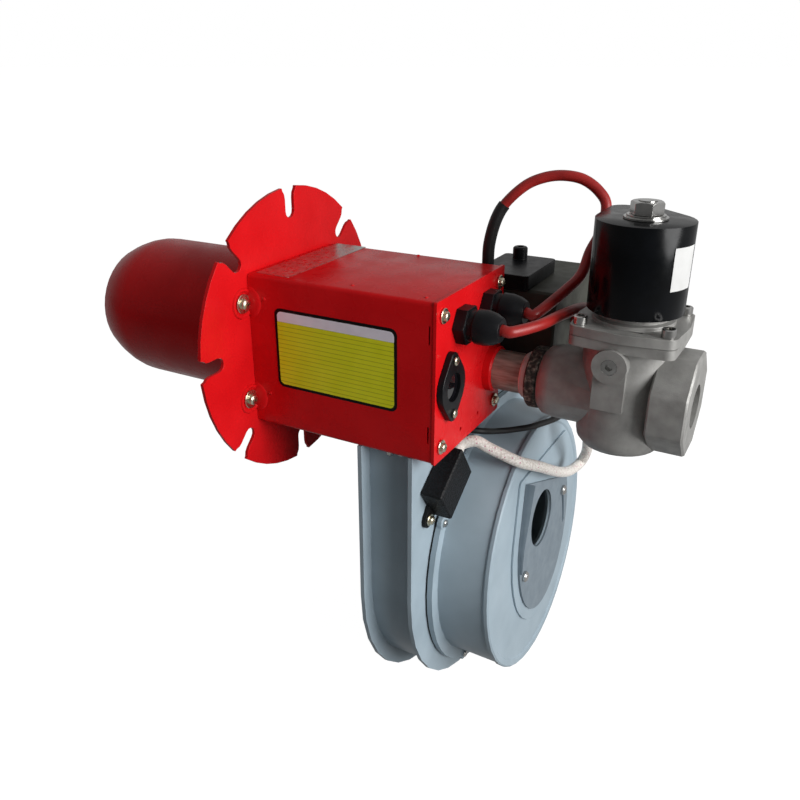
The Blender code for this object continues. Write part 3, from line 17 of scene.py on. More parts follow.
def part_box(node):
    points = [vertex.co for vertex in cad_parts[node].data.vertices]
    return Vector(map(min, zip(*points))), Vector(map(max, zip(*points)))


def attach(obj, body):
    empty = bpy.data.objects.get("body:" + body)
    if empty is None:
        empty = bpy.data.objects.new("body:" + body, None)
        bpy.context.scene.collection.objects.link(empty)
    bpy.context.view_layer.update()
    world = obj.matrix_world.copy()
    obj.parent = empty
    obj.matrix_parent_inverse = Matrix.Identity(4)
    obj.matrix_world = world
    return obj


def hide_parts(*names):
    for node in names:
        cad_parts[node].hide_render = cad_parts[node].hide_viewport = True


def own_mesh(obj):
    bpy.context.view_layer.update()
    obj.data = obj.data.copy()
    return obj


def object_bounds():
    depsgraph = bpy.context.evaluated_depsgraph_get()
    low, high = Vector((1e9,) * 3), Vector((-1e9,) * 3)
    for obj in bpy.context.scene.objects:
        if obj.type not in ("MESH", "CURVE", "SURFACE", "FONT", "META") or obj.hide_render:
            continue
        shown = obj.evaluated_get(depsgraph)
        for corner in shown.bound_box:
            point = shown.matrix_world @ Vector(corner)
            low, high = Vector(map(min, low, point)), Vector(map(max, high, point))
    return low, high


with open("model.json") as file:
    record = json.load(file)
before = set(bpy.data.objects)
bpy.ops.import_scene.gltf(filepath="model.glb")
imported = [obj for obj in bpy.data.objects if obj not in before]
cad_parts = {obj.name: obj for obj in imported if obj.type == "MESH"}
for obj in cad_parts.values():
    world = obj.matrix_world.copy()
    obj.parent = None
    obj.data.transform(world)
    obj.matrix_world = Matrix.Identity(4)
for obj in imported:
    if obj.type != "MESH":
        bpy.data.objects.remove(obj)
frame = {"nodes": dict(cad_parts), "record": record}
solid_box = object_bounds()
scene = bpy.context.scene
print("solids:", len(frame["nodes"]), "from", solid_box[0], "to", solid_box[1])

# %% [markdown]
# ## Camera
# The photograph's view was solved from the box, the flange and the tube: the camera stands to the
# right of the burner, a little above it, and looks down on it. A 36 mm lens on a 36 mm sensor
# gives its perspective, so nothing has to be shifted.

# %% Camera
CAMERA_PLACE = Vector((0.32815, -0.43596, 0.18261))
CAMERA_AZIMUTH = math.radians(119.02)
CAMERA_ELEVATION = math.radians(-23.816)

lens = bpy.data.cameras.new("camera")
lens.lens, lens.sensor_width = 36.0, 36.0
lens.clip_start, lens.clip_end = 0.01, 20.0
camera = bpy.data.objects.new("camera", lens)
scene.collection.objects.link(camera)
sight = Vector((math.cos(CAMERA_ELEVATION) * math.cos(CAMERA_AZIMUTH),
                math.cos(CAMERA_ELEVATION) * math.sin(CAMERA_AZIMUTH),
                math.sin(CAMERA_ELEVATION)))
camera.location = CAMERA_PLACE
camera.rotation_euler = sight.to_track_quat("-Z", "Y").to_euler()
scene.camera = camera
scene.view_settings.view_transform = "Standard"
print("camera looks along", sight)

# %% [markdown]
# ## Places on the burner
# Flat shapes are drawn in two numbers and laid on the object with a matrix: one sends the drawing
# plane's own Z along the burner's X, another lies on the blower's front, which leans 2.5 degrees.

# %% Places
MM = 0.001
FLANGE_BACK = 0.0025          # back face of the mounting flange
REAR_X = 0.1375               # outer face of the rear plate
HALF_WIDTH = 0.0495           # of the housing, across Y
SIDE_Y = -HALF_WIDTH          # near side of the housing
TOP_Z = 0.0513                # top of the housing
COIL_AXIS = (0.228, 0.034)
COIL_RADIUS = 0.0285
FACE_CENTRE = Vector((0.166, 0.080, -0.171))
FACE_TILT = math.radians(2.5)

ALONG_X = Matrix(((0, 0, 1, 0), (1, 0, 0, 0), (0, 1, 0, 0), (0, 0, 0, 1)))
ON_FACE = Matrix.Translation(FACE_CENTRE) @ Matrix.Rotation(-FACE_TILT, 4, "Y") @ ALONG_X


def at(x, y, z):
    return Matrix.Translation((x, y, z))


# %% [markdown]
# ## The four leads
# A lead is a round cable, so a curve with a bevel is the whole model: one open spline down its
# middle. The bevel is 1 m deep and every knot scales it to the cable's radius, because a curve's
# box is padded by the radius of its knots, and that is 1 m unless it is set. The route is the one
# that the solids follow: a Catmull-Rom curve through every point, cut into 2 mm steps.

# %% Routes of the leads
def smooth_route(points, step=0.002):
    """Points along a Catmull-Rom curve through the given ones, with the ends mirrored."""
    route = [Vector(p) for p in points]
    ends = [2 * route[0] - route[1]] + route + [2 * route[-1] - route[-2]]
    chain = []
    for a, b, c, d in zip(ends, ends[1:], ends[2:], ends[3:]):
        pieces = max(1, round((c - b).length / step))
        for i in range(pieces):
            t = i / pieces
            chain.append(0.5 * (2 * b + (c - a) * t + (2 * a - 5 * b + 4 * c - d) * t ** 2
                                + (3 * b - a - 3 * c + d) * t ** 3))
    return chain + [route[-1]]


def through_gland(centre):
    return [(REAR_X + x, *centre) for x in (0.033, 0.028, 0.0, -0.013, -0.024)]


GLAND_NEAR, GLAND_FAR = (-0.0175, 0.0305), (0.0215, 0.0305)
OUTLET = Vector((0.1185, 0.0665, 0.0))
IGNITION_RISE = [(0, 0, .0453), (0, .001, .0600), (.003, .0035, .0760), (.0085, .007, .0875),
                 (.020, .011, .0990), (.0316, .0145, .1044), (.0437, .0165, .1062),
                 (.0563, .0175, .1045), (.0670, .0175, .0981), (.0735, .0155, .0893),
                 (.0731, .0090, .0738), (.0696, .0015, .0620), (.0680, -.0085, .0491),
                 (.0618, -.0215, .0405)]
IGNITION = [OUTLET + Vector(p) for p in IGNITION_RISE] + through_gland(GLAND_FAR)
IGNITION += [(REAR_X - .060, .021, .024), (REAR_X - .100, .020, .020), (.0103, .020, .020)]
SENSOR = [(.0103, -.020, .020), (REAR_X - .100, -.020, .020), (REAR_X - .060, -.019, .024)]
SENSOR += through_gland(GLAND_NEAR)[::-1]
SENSOR += [(REAR_X + .0435, .000, .0315), (REAR_X + .0490, .024, .0318),
           (REAR_X + .0525, .048, .0300), (REAR_X + .0535, .070, .0240),
           (REAR_X + .0470, .088, .0130), (.1775, .0935, .0085), (.1728, .0935, .0085)]
CAPACITOR_PLACE = (at(0.1217, 0.0112, -0.0845) @ ALONG_X
                   @ Matrix.Rotation(math.radians(214.4), 4, "Z")
                   @ Matrix.Scale(-1, 4, (0, 1, 0)))
CAPACITOR = [CAPACITOR_PLACE @ Vector((x, .0216, .0088)) for x in (-.0003, -.0070)]
CAPACITOR += [(REAR_X + x, y, z) for x, y, z in (
    (.0010, .0105, -.0605), (.0085, .0150, -.0655), (.0160, .0190, -.0700), (.0275, .0270, -.0775),
    (.0360, .0461, -.0880), (.0385, .0815, -.1083), (.0400, .1085, -.1200), (.0430, .1270, -.1205),
    (.0475, .1240, -.1090), (.0510, .1120, -.0930), (.0540, .1000, -.0650), (.0620, .0900, -.0280))]
CAPACITOR += [(.2065, .0890, .0050), (.2115, .0920, .0240), (.2145, .0915, .0400),
              (.2155, .0855, .0505), (.2155, .0775, .0550), (.2155, .0728, .0550)]
MOTOR_X, MOTOR_CENTRE = 0.0878, Vector((.079, -.150))
REACH = Vector((0.023 - 0.079, -0.060 + 0.150)).normalized()
MOTOR = [(MOTOR_X + x, *(MOTOR_CENTRE + REACH * r))
         for x, r in ((0, .0483), (0, .075), (.002, .100))]
MOTOR += [(MOTOR_X + .014, .0245, -.0615), (.1155, .023, -.060), (.1255, .023, -.060)]
MOTOR += [(REAR_X + x, y, z) for x, y, z in (
    (-.002, .0275, -.0610), (.0040, .0400, -.0650), (.0142, .0500, -.0655), (.0262, .0610, -.0640),
    (.0360, .0860, -.0640), (.0380, .1010, -.0560), (.0300, .1080, -.0450), (.0260, .1080, -.0350),
    (.0260, .1080, -.0303))]


def cable(name, points, radius):
    """A curve of one open spline through the points."""
    data = bpy.data.curves.new(name, "CURVE")
    data.dimensions, data.bevel_depth, data.bevel_resolution = "3D", 1.0, 5
    data.use_fill_caps = True
    spline = data.splines.new("POLY")
    spline.points.add(len(points) - 1)
    for knot, p in zip(spline.points, points):
        knot.co, knot.radius = (*p, 1.0), radius
    obj = bpy.data.objects.new(name, data)
    scene.collection.objects.link(obj)
    return obj


def route_length(chain):
    return sum((b - a).length for a, b in zip(chain, chain[1:]))


LEADS = {"ignition_cable": (IGNITION, 0.0035, "red_silicone", "medium"),
         "sensor_cable": (SENSOR, 0.0035, "red_silicone", "medium"),
         "capacitor_lead": (CAPACITOR, 0.0040, "white_sleeve", "limp"),
         "motor_lead": (MOTOR, 0.0022, "black_rubber", "medium")}
SLEEVE_TOP = 0.0865           # the black shrink sleeve ends this high on the ignition lead
sheaths = []
for node, (points, radius, look, stiffness) in LEADS.items():
    chain = smooth_route(points)
    lead = cable(node + "_sheath", chain, radius)
    sheaths.append((lead, look))
    collar = []
    if node == "ignition_cable":
        cuff = chain[:next(i for i, p in enumerate(chain) if p.z > SLEEVE_TOP)]
        collar = [cable("ignition_shrink_sleeve", cuff, radius + 0.0007)]
        sheaths.append((collar[0], "shrink_sleeve"))
        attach(collar[0], "burner")
    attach(lead, "burner")
    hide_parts(node)
    print(node, "is", round(route_length(chain), 3), "m long")


# %% [markdown]
# ## Colours, nodes and patterns
# Colours are noted as sRGB hex values, as a paint chart has them, and one function turns them to
# the linear numbers that the shader works in. Another adds a node with its settings and links. With
# those, a finish is laid from a few patterns: noise or cells that tint and dent the skin, patches
# of roughness, and a second colour printed over the first.

# %% Colours and patterns
def colour(code):
    channels = [int(code[i:i + 2], 16) / 255 for i in (1, 3, 5)]
    linear = [c / 12.92 if c <= 0.04045 else ((c + 0.055) / 1.055) ** 2.4 for c in channels]
    return (*linear, 1.0)


def add(tree, kind, values=None, links=None, **settings):
    node = tree.nodes.new(kind)
    for name, value in settings.items():
        setattr(node, name, value)
    for name, value in (values or {}).items():
        node.inputs[name].default_value = value
    for name, source in (links or {}).items():
        tree.links.new(source, node.inputs[name])
    return node


def finish(name, **values):
    """A new material with its Principled shader's sockets set; returns what the patterns need."""
    material = bpy.data.materials.new(name)
    material.use_nodes = True
    tree = material.node_tree
    shader = tree.nodes["Principled BSDF"]
    for socket, value in values.items():
        shader.inputs[socket.replace("_", " ")].default_value = value
    place = add(tree, "ShaderNodeTexCoord").outputs["Object"]
    return material, tree, shader, place


def textured(tree, shader, place, size, stops=(), depth=0.0, strength=1.0, cells=False, **values):
    """Noise or cells, size metres across: stops (position, hex colour) tint, depth dents."""
    kind, output = ("ShaderNodeTexVoronoi", "Distance") if cells else ("ShaderNodeTexNoise", "Fac")
    value = add(tree, kind, {"Scale": 1 / size, **values}, {"Vector": place}).outputs[output]
    if stops:
        ramp = add(tree, "ShaderNodeValToRGB", links={"Fac": value})
        elements = ramp.color_ramp.elements
        while len(elements) < len(stops):
            elements.new(0.5)
        for element, (position, code) in zip(elements, stops):
            element.position, element.color = position, colour(code)
        tree.links.new(ramp.outputs["Color"], shader.inputs["Base Color"])
    if depth:
        bump = add(tree, "ShaderNodeBump", {"Strength": strength, "Distance": depth},
                   {"Height": value})
        tree.links.new(bump.outputs["Normal"], shader.inputs["Normal"])


def rough_patches(tree, shader, place, size, low, high):
    """Roughness that drifts from low to high in patches, size metres across."""
    noise = add(tree, "ShaderNodeTexNoise", {"Scale": 1 / size, "Detail": 3.0}, {"Vector": place})
    spread = add(tree, "ShaderNodeMapRange",
                 {"From Min": 0.3, "From Max": 0.7, "To Min": low, "To Max": high},
                 {"Value": noise.outputs["Fac"]})
    tree.links.new(spread.outputs["Result"], shader.inputs["Roughness"])


def overprinted(tree, shader, share, code):
    """A second colour over the one that is there, as strong as the share says."""
    base = shader.inputs["Base Color"].links[0].from_socket
    mix = add(tree, "ShaderNodeMixRGB", {"Color2": colour(code)}, {"Fac": share, "Color1": base})
    tree.links.new(mix.outputs["Color"], shader.inputs["Base Color"])


# %% [markdown]
# ## Red enamel
# The box, flange and tube are sheet steel with a baked gloss enamel, a clear, smooth film over
# colour. Sprayed enamel is never quite flat: its skin has a fine orange peel, about 1.5 mm from
# hill to hill, and thin dust dulls it in patches.

# %% Red enamel
def red_enamel():
    material, *skin = finish("red_enamel", Specular_IOR_Level=0.12)
    textured(*skin, 38 * MM, [(0.30, "#CC1116"), (0.70, "#DC181D")], Detail=4.0)
    rough_patches(*skin, 16 * MM, 0.20, 0.34)
    textured(*skin, 1.5 * MM, depth=0.02 * MM, Detail=1.0)
    return material


# %% [markdown]
# ## Blue-grey paint
# The blower is pressed steel with a satin blue-grey paint. It is duller than the enamel and shows
# faint wipe marks, so its roughness changes in larger patches and its colour only a little.

# %% Blue-grey paint
def blue_grey_paint():
    material, *skin = finish("blue_grey_paint", Specular_IOR_Level=0.22)
    textured(*skin, 30 * MM, [(0.3, "#9AAAB4"), (0.7, "#A5B5BF")], Detail=4.0)
    rough_patches(*skin, 22 * MM, 0.32, 0.46)
    textured(*skin, 1.2 * MM, depth=0.012 * MM, Detail=1.0)
    return material


# %% [markdown]
# ## Metals
# The valve is a sand casting that was blasted: grit of a third of a millimetre leaves a matt,
# even grain, drawn a little coarser here so that it shows. Bright steel keeps the fine lines of the
# lathe, and the screws have a yellow zinc plate whose film shimmers from straw to green.

# %% Metals
def blasted_casting():
    material, *skin = finish("blasted_casting", Metallic=0.40)
    textured(*skin, 9 * MM, [(0.30, "#8E8D8A"), (0.70, "#A5A4A1")], Detail=4.0)
    rough_patches(*skin, 6 * MM, 0.42, 0.56)
    textured(*skin, 0.7 * MM, depth=0.16 * MM, Detail=4.0, Roughness=0.65)
    return material


def turned_steel():
    """Bright steel with the fine lines that a lathe leaves round the axis along X."""
    material, tree, shader, place = finish("turned_steel", Metallic=1.0)
    textured(tree, shader, place, 9 * MM, [(0.3, "#B3B2AF"), (0.7, "#CDCCCA")], Detail=4.0)
    rough_patches(tree, shader, place, 5 * MM, 0.14, 0.24)
    lines = add(tree, "ShaderNodeMapping", {"Scale": (3.0, 0.3, 0.3)}, {"Vector": place})
    textured(tree, shader, lines.outputs["Vector"], 1.6 * MM, depth=0.003 * MM, Detail=1.0)
    return material


def drawn_pipe():
    """Zinc-plated pipe that has dulled, with streaks along X where it was drawn."""
    material, tree, shader, place = finish("drawn_pipe", Metallic=0.55)
    long_way = add(tree, "ShaderNodeMapping", {"Scale": (0.12, 1.0, 1.0)}, {"Vector": place})
    skin = tree, shader, long_way.outputs["Vector"]
    textured(*skin, 2.2 * MM, [(0.32, "#7D746A"), (0.68, "#B5ADA2")], Detail=4.0)
    rough_patches(*skin, 3 * MM, 0.40, 0.55)
    return material


def yellow_zinc():
    material, *skin = finish("yellow_zinc", Metallic=1.0)
    textured(*skin, 2.2 * MM, [(0.28, "#B7A380"), (0.5, "#DFDAC6"), (0.72, "#C3C4AE")], Detail=4.0)
    rough_patches(*skin, 1.5 * MM, 0.22, 0.34)
    return material


def black_iron():
    material, *skin = finish("black_iron", Metallic=0.35, Roughness=0.82)
    textured(*skin, 2.4 * MM, [(0.35, "#24211F"), (0.52, "#4E4842"), (0.70, "#958B80")], Detail=4.0)
    textured(*skin, 1.3 * MM, depth=0.9 * MM, Detail=5.0, Roughness=0.7)
    return material


def bare_foil():
    material, *skin = finish("bare_foil", Metallic=1.0)
    textured(*skin, 5 * MM, [(0.3, "#A9A6A2"), (0.7, "#C6C4C0")], Detail=4.0)
    rough_patches(*skin, 3 * MM, 0.22, 0.42)
    textured(*skin, 4 * MM, depth=0.25 * MM, Detail=2.0)
    return material


# %% [markdown]
# ## Plastics, rubber and sheaths
# The coil is cast in black resin and shines; glands and the window frame are moulded nylon with
# a soft gloss; the transformer's case is a dull grey-green phenolic with a fine grain. The leads
# have silicone, rubber and a braided glass sleeve with a pink tracer thread.

# %% Plastics
def moulded(name, light, dark, low, high, grain=0.6, depth=0.02, **values):
    material, *skin = finish(name, **values)
    textured(*skin, 12 * MM, [(0.3, dark), (0.7, light)], Detail=4.0)
    rough_patches(*skin, 7 * MM, low, high)
    textured(*skin, grain * MM, depth=depth * MM, Detail=2.0)
    return material


def pitted_block():
    """Potted capacitor case with a coarse pebbled skin."""
    material, *skin = finish("pitted_block", Roughness=0.55, Specular_IOR_Level=0.25)
    textured(*skin, 1.5 * MM, [(0.1, "#17181B"), (0.75, "#09090A")], 0.5 * MM, 0.8, cells=True)
    return material


def braided_sleeve():
    """White glass braid, drawn with 1.4 mm strands, and flecks of the pink tracer."""
    material, tree, shader, place = finish("braided_sleeve", Roughness=0.75, Sheen_Weight=0.3)
    textured(tree, shader, place, 1.4 * MM, [(0.2, "#F2EEE8"), (0.8, "#D3CBC2")], 0.25 * MM, 0.7,
             cells=True)
    flecks = add(tree, "ShaderNodeTexVoronoi", {"Scale": 1 / (3.2 * MM)}, {"Vector": place})
    mask = add(tree, "ShaderNodeMapRange", {"From Min": 0.20, "From Max": 0.14},
               {"Value": flecks.outputs["Distance"]})
    overprinted(tree, shader, mask.outputs["Result"], "#C27790")
    return material


def dark_glass():
    material, *skin = finish("dark_glass", Roughness=0.03, IOR=1.5, Coat_Weight=0.5)
    textured(*skin, 9 * MM, [(0.3, "#08080A"), (0.7, "#141318")], Detail=4.0)
    return material


LOOKS = {
    "red_paint": red_enamel(),
    "grey_paint": blue_grey_paint(),
    "cast_aluminium": blasted_casting(),
    "zinc_yellow_steel": yellow_zinc(),
    "bright_steel": turned_steel(),
    "dark_iron": black_iron(),
    "gloss_black_plastic": moulded("black_nylon", "#141518", "#0A0A0C", 0.30, 0.42,
                                   Specular_IOR_Level=0.20),
    "dark_grey_plastic": moulded("grey_phenolic", "#484943", "#3B3C35", 0.48, 0.60, 0.8, 0.05,
                                 Specular_IOR_Level=0.2),
    "black_rubber": moulded("black_rubber", "#161617", "#0C0C0D", 0.50, 0.65),
    "red_silicone": moulded("red_silicone", "#A92622", "#8C1A18", 0.34, 0.46, 1.2, 0.03),
    "white_sleeve": braided_sleeve(),
    "white_tape": moulded("thread_tape", "#E9E5DF", "#C9C2B9", 0.55, 0.75, 0.9, 0.25),
    "white_ceramic": moulded("glazed_ceramic", "#F0EDE4", "#E3DFD3", 0.16, 0.26, Coat_Weight=0.3),
    "window_glass": dark_glass(),
}
DRAWN_PIPE = drawn_pipe()
COIL_RESIN = moulded("coil_resin", "#0B0D10", "#060708", 0.16, 0.26, 1.6, 0.01,
                     Specular_IOR_Level=0.16)
SHRINK_SLEEVE = moulded("shrink_sleeve", "#131314", "#0B0B0C", 0.42, 0.55)
CAPACITOR_CASE = pitted_block()
DULL_PLATE = moulded("dull_grey_plate", "#7E8A93", "#727E87", 0.38, 0.50, 2.0, 0.01,
                     Specular_IOR_Level=0.25)
for sheath, look in sheaths:
    sheath.data.materials.append(LOOKS.get(look, SHRINK_SLEEVE))
print("finishes for the slots:", len(LOOKS))

# %% [markdown]
# ## Rounded edges on the solids
# A solid arrives as loose flat triangles. No real edge is that sharp, and a tube's facets would
# show, so each solid gets a small geometry group that merges the triangles and shades across
# shallow angles, and the solids with an edge width in the table also get a bevel that rounds what
# is left sharp. The solid stays.

# %% Rounded edges
SHARP = math.radians(34)


def smooth_shell(name, hollow_weight, crest_weight):
    group = bpy.data.node_groups.new(name, "GeometryNodeTree")
    group.interface.new_socket("Geometry", in_out="INPUT", socket_type="NodeSocketGeometry")
    group.interface.new_socket("Geometry", in_out="OUTPUT", socket_type="NodeSocketGeometry")
    start = add(group, "NodeGroupInput").outputs["Geometry"]
    merged = add(group, "GeometryNodeMergeByDistance", {"Distance": 0.000002}, {"Geometry": start})
    plain = add(group, "GeometryNodeRemoveAttribute", {"Name": "custom_normal"},
                {"Geometry": merged.outputs["Geometry"]})
    faces = add(group, "GeometryNodeSetShadeSmooth", {"Shade Smooth": True},
                {"Geometry": plain.outputs["Geometry"]}, domain="FACE")
    edges = add(group, "GeometryNodeSetShadeSmooth", {"Shade Smooth": True},
                {"Geometry": faces.outputs["Geometry"]}, domain="EDGE")
    angle = add(group, "GeometryNodeInputMeshEdgeAngle")
    steep = add(group, "FunctionNodeCompare", {"B": SHARP}, {"A": angle.outputs["Unsigned Angle"]},
                operation="GREATER_THAN")
    hollow = add(group, "FunctionNodeCompare", {"B": 0.0}, {"A": angle.outputs["Signed Angle"]},
                 operation="LESS_THAN")
    weight = add(group, "GeometryNodeSwitch", {"False": crest_weight, "True": hollow_weight},
                 {"Switch": hollow.outputs["Result"]}, input_type="FLOAT")
    weight = add(group, "GeometryNodeSwitch", {"False": 0.0}, {"Switch": steep.outputs["Result"],
                 "True": weight.outputs["Output"]}, input_type="FLOAT")
    sharp = add(group, "GeometryNodeSetShadeSmooth", {"Shade Smooth": False},
                {"Geometry": edges.outputs["Geometry"], "Selection": steep.outputs["Result"]},
                domain="EDGE")
    marked = add(group, "GeometryNodeStoreNamedAttribute", {"Name": "bevel_weight_edge"},
                 {"Geometry": sharp.outputs["Geometry"], "Value": weight.outputs["Output"]},
                 data_type="FLOAT", domain="EDGE")
    add(group, "NodeGroupOutput", links={"Geometry": marked.outputs["Geometry"]})
    return group


SOLID_EDGES = smooth_shell("smooth_solid", 1.0, 1.0)
PRESSED_EDGES = smooth_shell("smooth_pressing", 1.0, 0.30)
PRESSINGS = {"fan_back_housing": 2.8, "fan_front_housing": 2.2}


def dress(name, material, width):
    """Gives one CAD node its finish and rounded edges."""
    obj = frame["nodes"][name]
    obj.data.materials.clear()
    obj.data.materials.append(material)
    pressed = name in PRESSINGS
    obj.modifiers.new("smooth", "NODES").node_group = PRESSED_EDGES if pressed else SOLID_EDGES
    if pressed:
        flat = obj.modifiers.new("flat faces", "DECIMATE")
        flat.decimate_type, flat.angle_limit = "DISSOLVE", math.radians(0.5)
        width = PRESSINGS[name] * MM
    if width:
        bevel = obj.modifiers.new("rounded", "BEVEL")
        bevel.width, bevel.segments, bevel.profile = width, 3 if pressed else 2, 0.5
        bevel.limit_method, bevel.harden_normals = "WEIGHT", True


EDGE = {"burner_tube": 0.4, "mounting_flange": 0.35, "burner_housing": 0.3, "rear_plate": 0.35,
        "fan_back_housing": 0.9, "fan_front_housing": 0.5, "inlet_plate": 0.3, "air_shutter": 0.3,
        "valve_bonnet": 0.5, "transformer_lid": 0.3, "ignition_transformer": 0.3, "coil_nut": 0.2,
        "coil_washer": 0.15, "run_capacitor": 0.25, "near_cable_gland": 0.3, "far_cable_gland": 0.3,
        "sight_window_frame": 0.3, "pipe_coupling": 0.4}
solids = frame["record"]["subparts"]
for part in solids:
    dress(part["node"], LOOKS[part["material_slot"]], EDGE.get(part["node"], 0.0) * MM)
frame["nodes"]["solenoid_coil"].data.materials[0] = COIL_RESIN
frame["nodes"]["run_capacitor"].data.materials[0] = CAPACITOR_CASE
frame["nodes"]["gas_nipple"].data.materials[0] = DRAWN_PIPE
print("solids dressed:", len(solids))

# %% [markdown]
# ## Small turned and cut parts
# Screws, rings and rivets are round, so each starts as half an outline that is spun about Z. A
# helper turns the form into a piece: it closes the doubles, lays it in its place, hangs it on the
# body that carries it, gives it its finish and hides the solid that it stands for.

# %% Turning and placing
def turned(profile, steps=32):
    """A form spun about Z from points (radius, height)."""
    form = bmesh.new()
    corners = [form.verts.new((radius, 0.0, height)) for radius, height in profile]
    line = [form.edges.new(pair) for pair in zip(corners, corners[1:])]
    bmesh.ops.spin(form, geom=corners + line, cent=(0, 0, 0), axis=(0, 0, 1), angle=math.tau,
                   steps=steps, use_merge=True)
    bmesh.ops.remove_doubles(form, verts=form.verts, dist=1e-6)
    bmesh.ops.recalc_face_normals(form, faces=form.faces)
    return form


def piece(name, form, look, place=Matrix(), body="burner", stands_for=()):
    form.transform(place)
    bmesh.ops.remove_doubles(form, verts=form.verts, dist=1e-6)
    bmesh.ops.recalc_face_normals(form, faces=form.faces)
    data = bpy.data.meshes.new(name)
    form.to_mesh(data)
    form.free()
    data.shade_smooth()
    data.set_sharp_from_angle(angle=SHARP)
    data.materials.append(look)
    obj = bpy.data.objects.new(name, data)
    scene.collection.objects.link(obj)
    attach(obj, body)
    if stands_for:
        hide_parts(*stands_for)
    return obj


def trim(form, where, outward):
    """Takes away the side of a plane that outward points to, and closes the cut."""
    bmesh.ops.bisect_plane(form, geom=form.verts[:] + form.edges[:] + form.faces[:],
                           plane_co=where, plane_no=outward, clear_outer=True)
    bmesh.ops.holes_fill(form, edges=[e for e in form.edges if e.is_boundary])


def carved(form, tool):
    """The form less the tool, by a boolean whose result is read back into a bmesh."""
    blanks = []
    for shape in (form, tool):
        data = bpy.data.meshes.new("blank")
        shape.to_mesh(data)
        shape.free()
        blanks.append(bpy.data.objects.new("blank", data))
        scene.collection.objects.link(blanks[-1])
    cut = blanks[0].modifiers.new("cut", "BOOLEAN")
    cut.operation, cut.solver, cut.object = "DIFFERENCE", "EXACT", blanks[1]
    cut.use_self = True
    result = bmesh.new()
    result.from_mesh(blanks[0].evaluated_get(bpy.context.evaluated_depsgraph_get()).to_mesh())
    for blank in blanks:
        bpy.data.objects.remove(blank)
    return result


# %% [markdown]
# ## Screws with a cross recess
# Every zinc screw is a pan head with a washer under it. The solid has only the outline of the
# head; the recess is what tells the eye that it is a screw. A tapered cross is cut out of one
# form of each kind, and copies of it take the places of the solids, each turned a little.

# %% Cross-recess screws
def cross_tool(reach, width, depth, top):
    tool = bmesh.new()
    for turn in (0.0, math.pi / 2):
        arm = bmesh.ops.create_cube(tool, size=1.0)["verts"]
        laid = Matrix.Rotation(turn, 4, "Z") @ at(0, 0, top - depth / 2 + MM)
        bmesh.ops.transform(tool, verts=arm,
                            matrix=laid @ Matrix.Diagonal((2 * reach, width, depth + 2 * MM, 1.0)))
        low = [v for v in arm if v.co.z < top]
        bmesh.ops.scale(tool, verts=low, vec=(0.55, 0.55, 1.0))
    return tool


def pan_screw(washer, head, height, shank, length):
    """A pan head on its shank, with a washer under it unless that is 0."""
    plate = 1.2 * MM
    base = plate if washer else 0.0
    dome = [(head * math.cos(a), base + height * (0.45 + 0.55 * math.sin(a)))
            for a in (math.pi / 2 * i / 6 for i in range(6))]
    outline = [(0.0, -length), (shank, -length), (shank, 0.0)]
    if washer:
        rim = 0.25 * MM
        outline += [(washer - rim, 0.0), (washer, rim), (washer, plate - rim),
                    (washer - rim, plate), (head + rim, plate)]
    outline += [(head - 0.15 * MM, base + 0.1 * MM)] + dome + [(0.0, base + height)]
    recess = cross_tool(0.62 * head, 0.26 * head, 0.62 * height, base + height)
    return carved(turned(outline), recess)


KINDS = {"flange_screw_": (0.0064, 0.0038, 0.0032, 0.0025, 0.006),
         "rear_plate_screw_": (0.0047, 0.0030, 0.0025, 0.0020, 0.0075),
         "sight_window_screw_": (0.0, 0.0029, 0.0020, 0.0015, 0.009),
         "capacitor_screw": (0.0042, 0.0030, 0.0026, 0.0017, 0.006)}
screw_count = 0
for kind, sizes in KINDS.items():
    pattern, length = pan_screw(*sizes), sizes[-1]
    for node in sorted(name for name in frame["nodes"] if name.startswith(kind)):
        low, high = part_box(node)
        seat = Vector((low[0] + length, (low[1] + high[1]) / 2, (low[2] + high[2]) / 2))
        turn = Matrix.Rotation(0.7 * screw_count, 4, "Z")
        piece(node + "_pan_head", pattern.copy(), LOOKS["zinc_yellow_steel"],
              Matrix.Translation(seat) @ ALONG_X @ turn, stands_for=[node])
        screw_count += 1
    pattern.free()
print("screws with a recess:", screw_count)

# %% [markdown]
# ## Pressed rings and reliefs
# Round each flange screw the sheet is pressed into a shallow ring, and the box has a swelling
# that gives the washer room. Both are formed from the sheet itself, so they wear its enamel.

# %% Rings, reliefs and rivets
RED = LOOKS["red_paint"]
RING = [(0.0068, -0.0002), (0.0074, 0.0007), (0.0084, 0.0014), (0.0096, 0.0011), (0.0103, -0.0002),
        (0.0068, -0.0002)]
RELIEF_X = FLANGE_BACK + 0.2 * MM
RELIEF_SIZE = (0.0098, 0.0018, 0.0104)
RELIEF_SINK = 0.3 * MM        # the swelling's middle lies this deep under the side
for number, side in enumerate((-1, -1, 1, 1), 1):
    low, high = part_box(f"flange_screw_{number}")
    y, z = (low[1] + high[1]) / 2, (low[2] + high[2]) / 2
    piece(f"pressed_ring_{number}", turned(RING, 40), RED,
          at(FLANGE_BACK, y, z) @ ALONG_X)
    relief = bmesh.new()
    bmesh.ops.create_uvsphere(relief, u_segments=32, v_segments=16, radius=1.0)
    relief.transform(at(RELIEF_X, side * (HALF_WIDTH - RELIEF_SINK), z)
                     @ Matrix.Diagonal((*RELIEF_SIZE, 1.0)))
    under = side * (HALF_WIDTH - 2 * RELIEF_SINK)
    trim(relief, (RELIEF_X, 0, 0), (-1, 0, 0))
    trim(relief, (0, under, 0), (0, -side, 0))
    piece(f"side_relief_{number}", relief, RED)

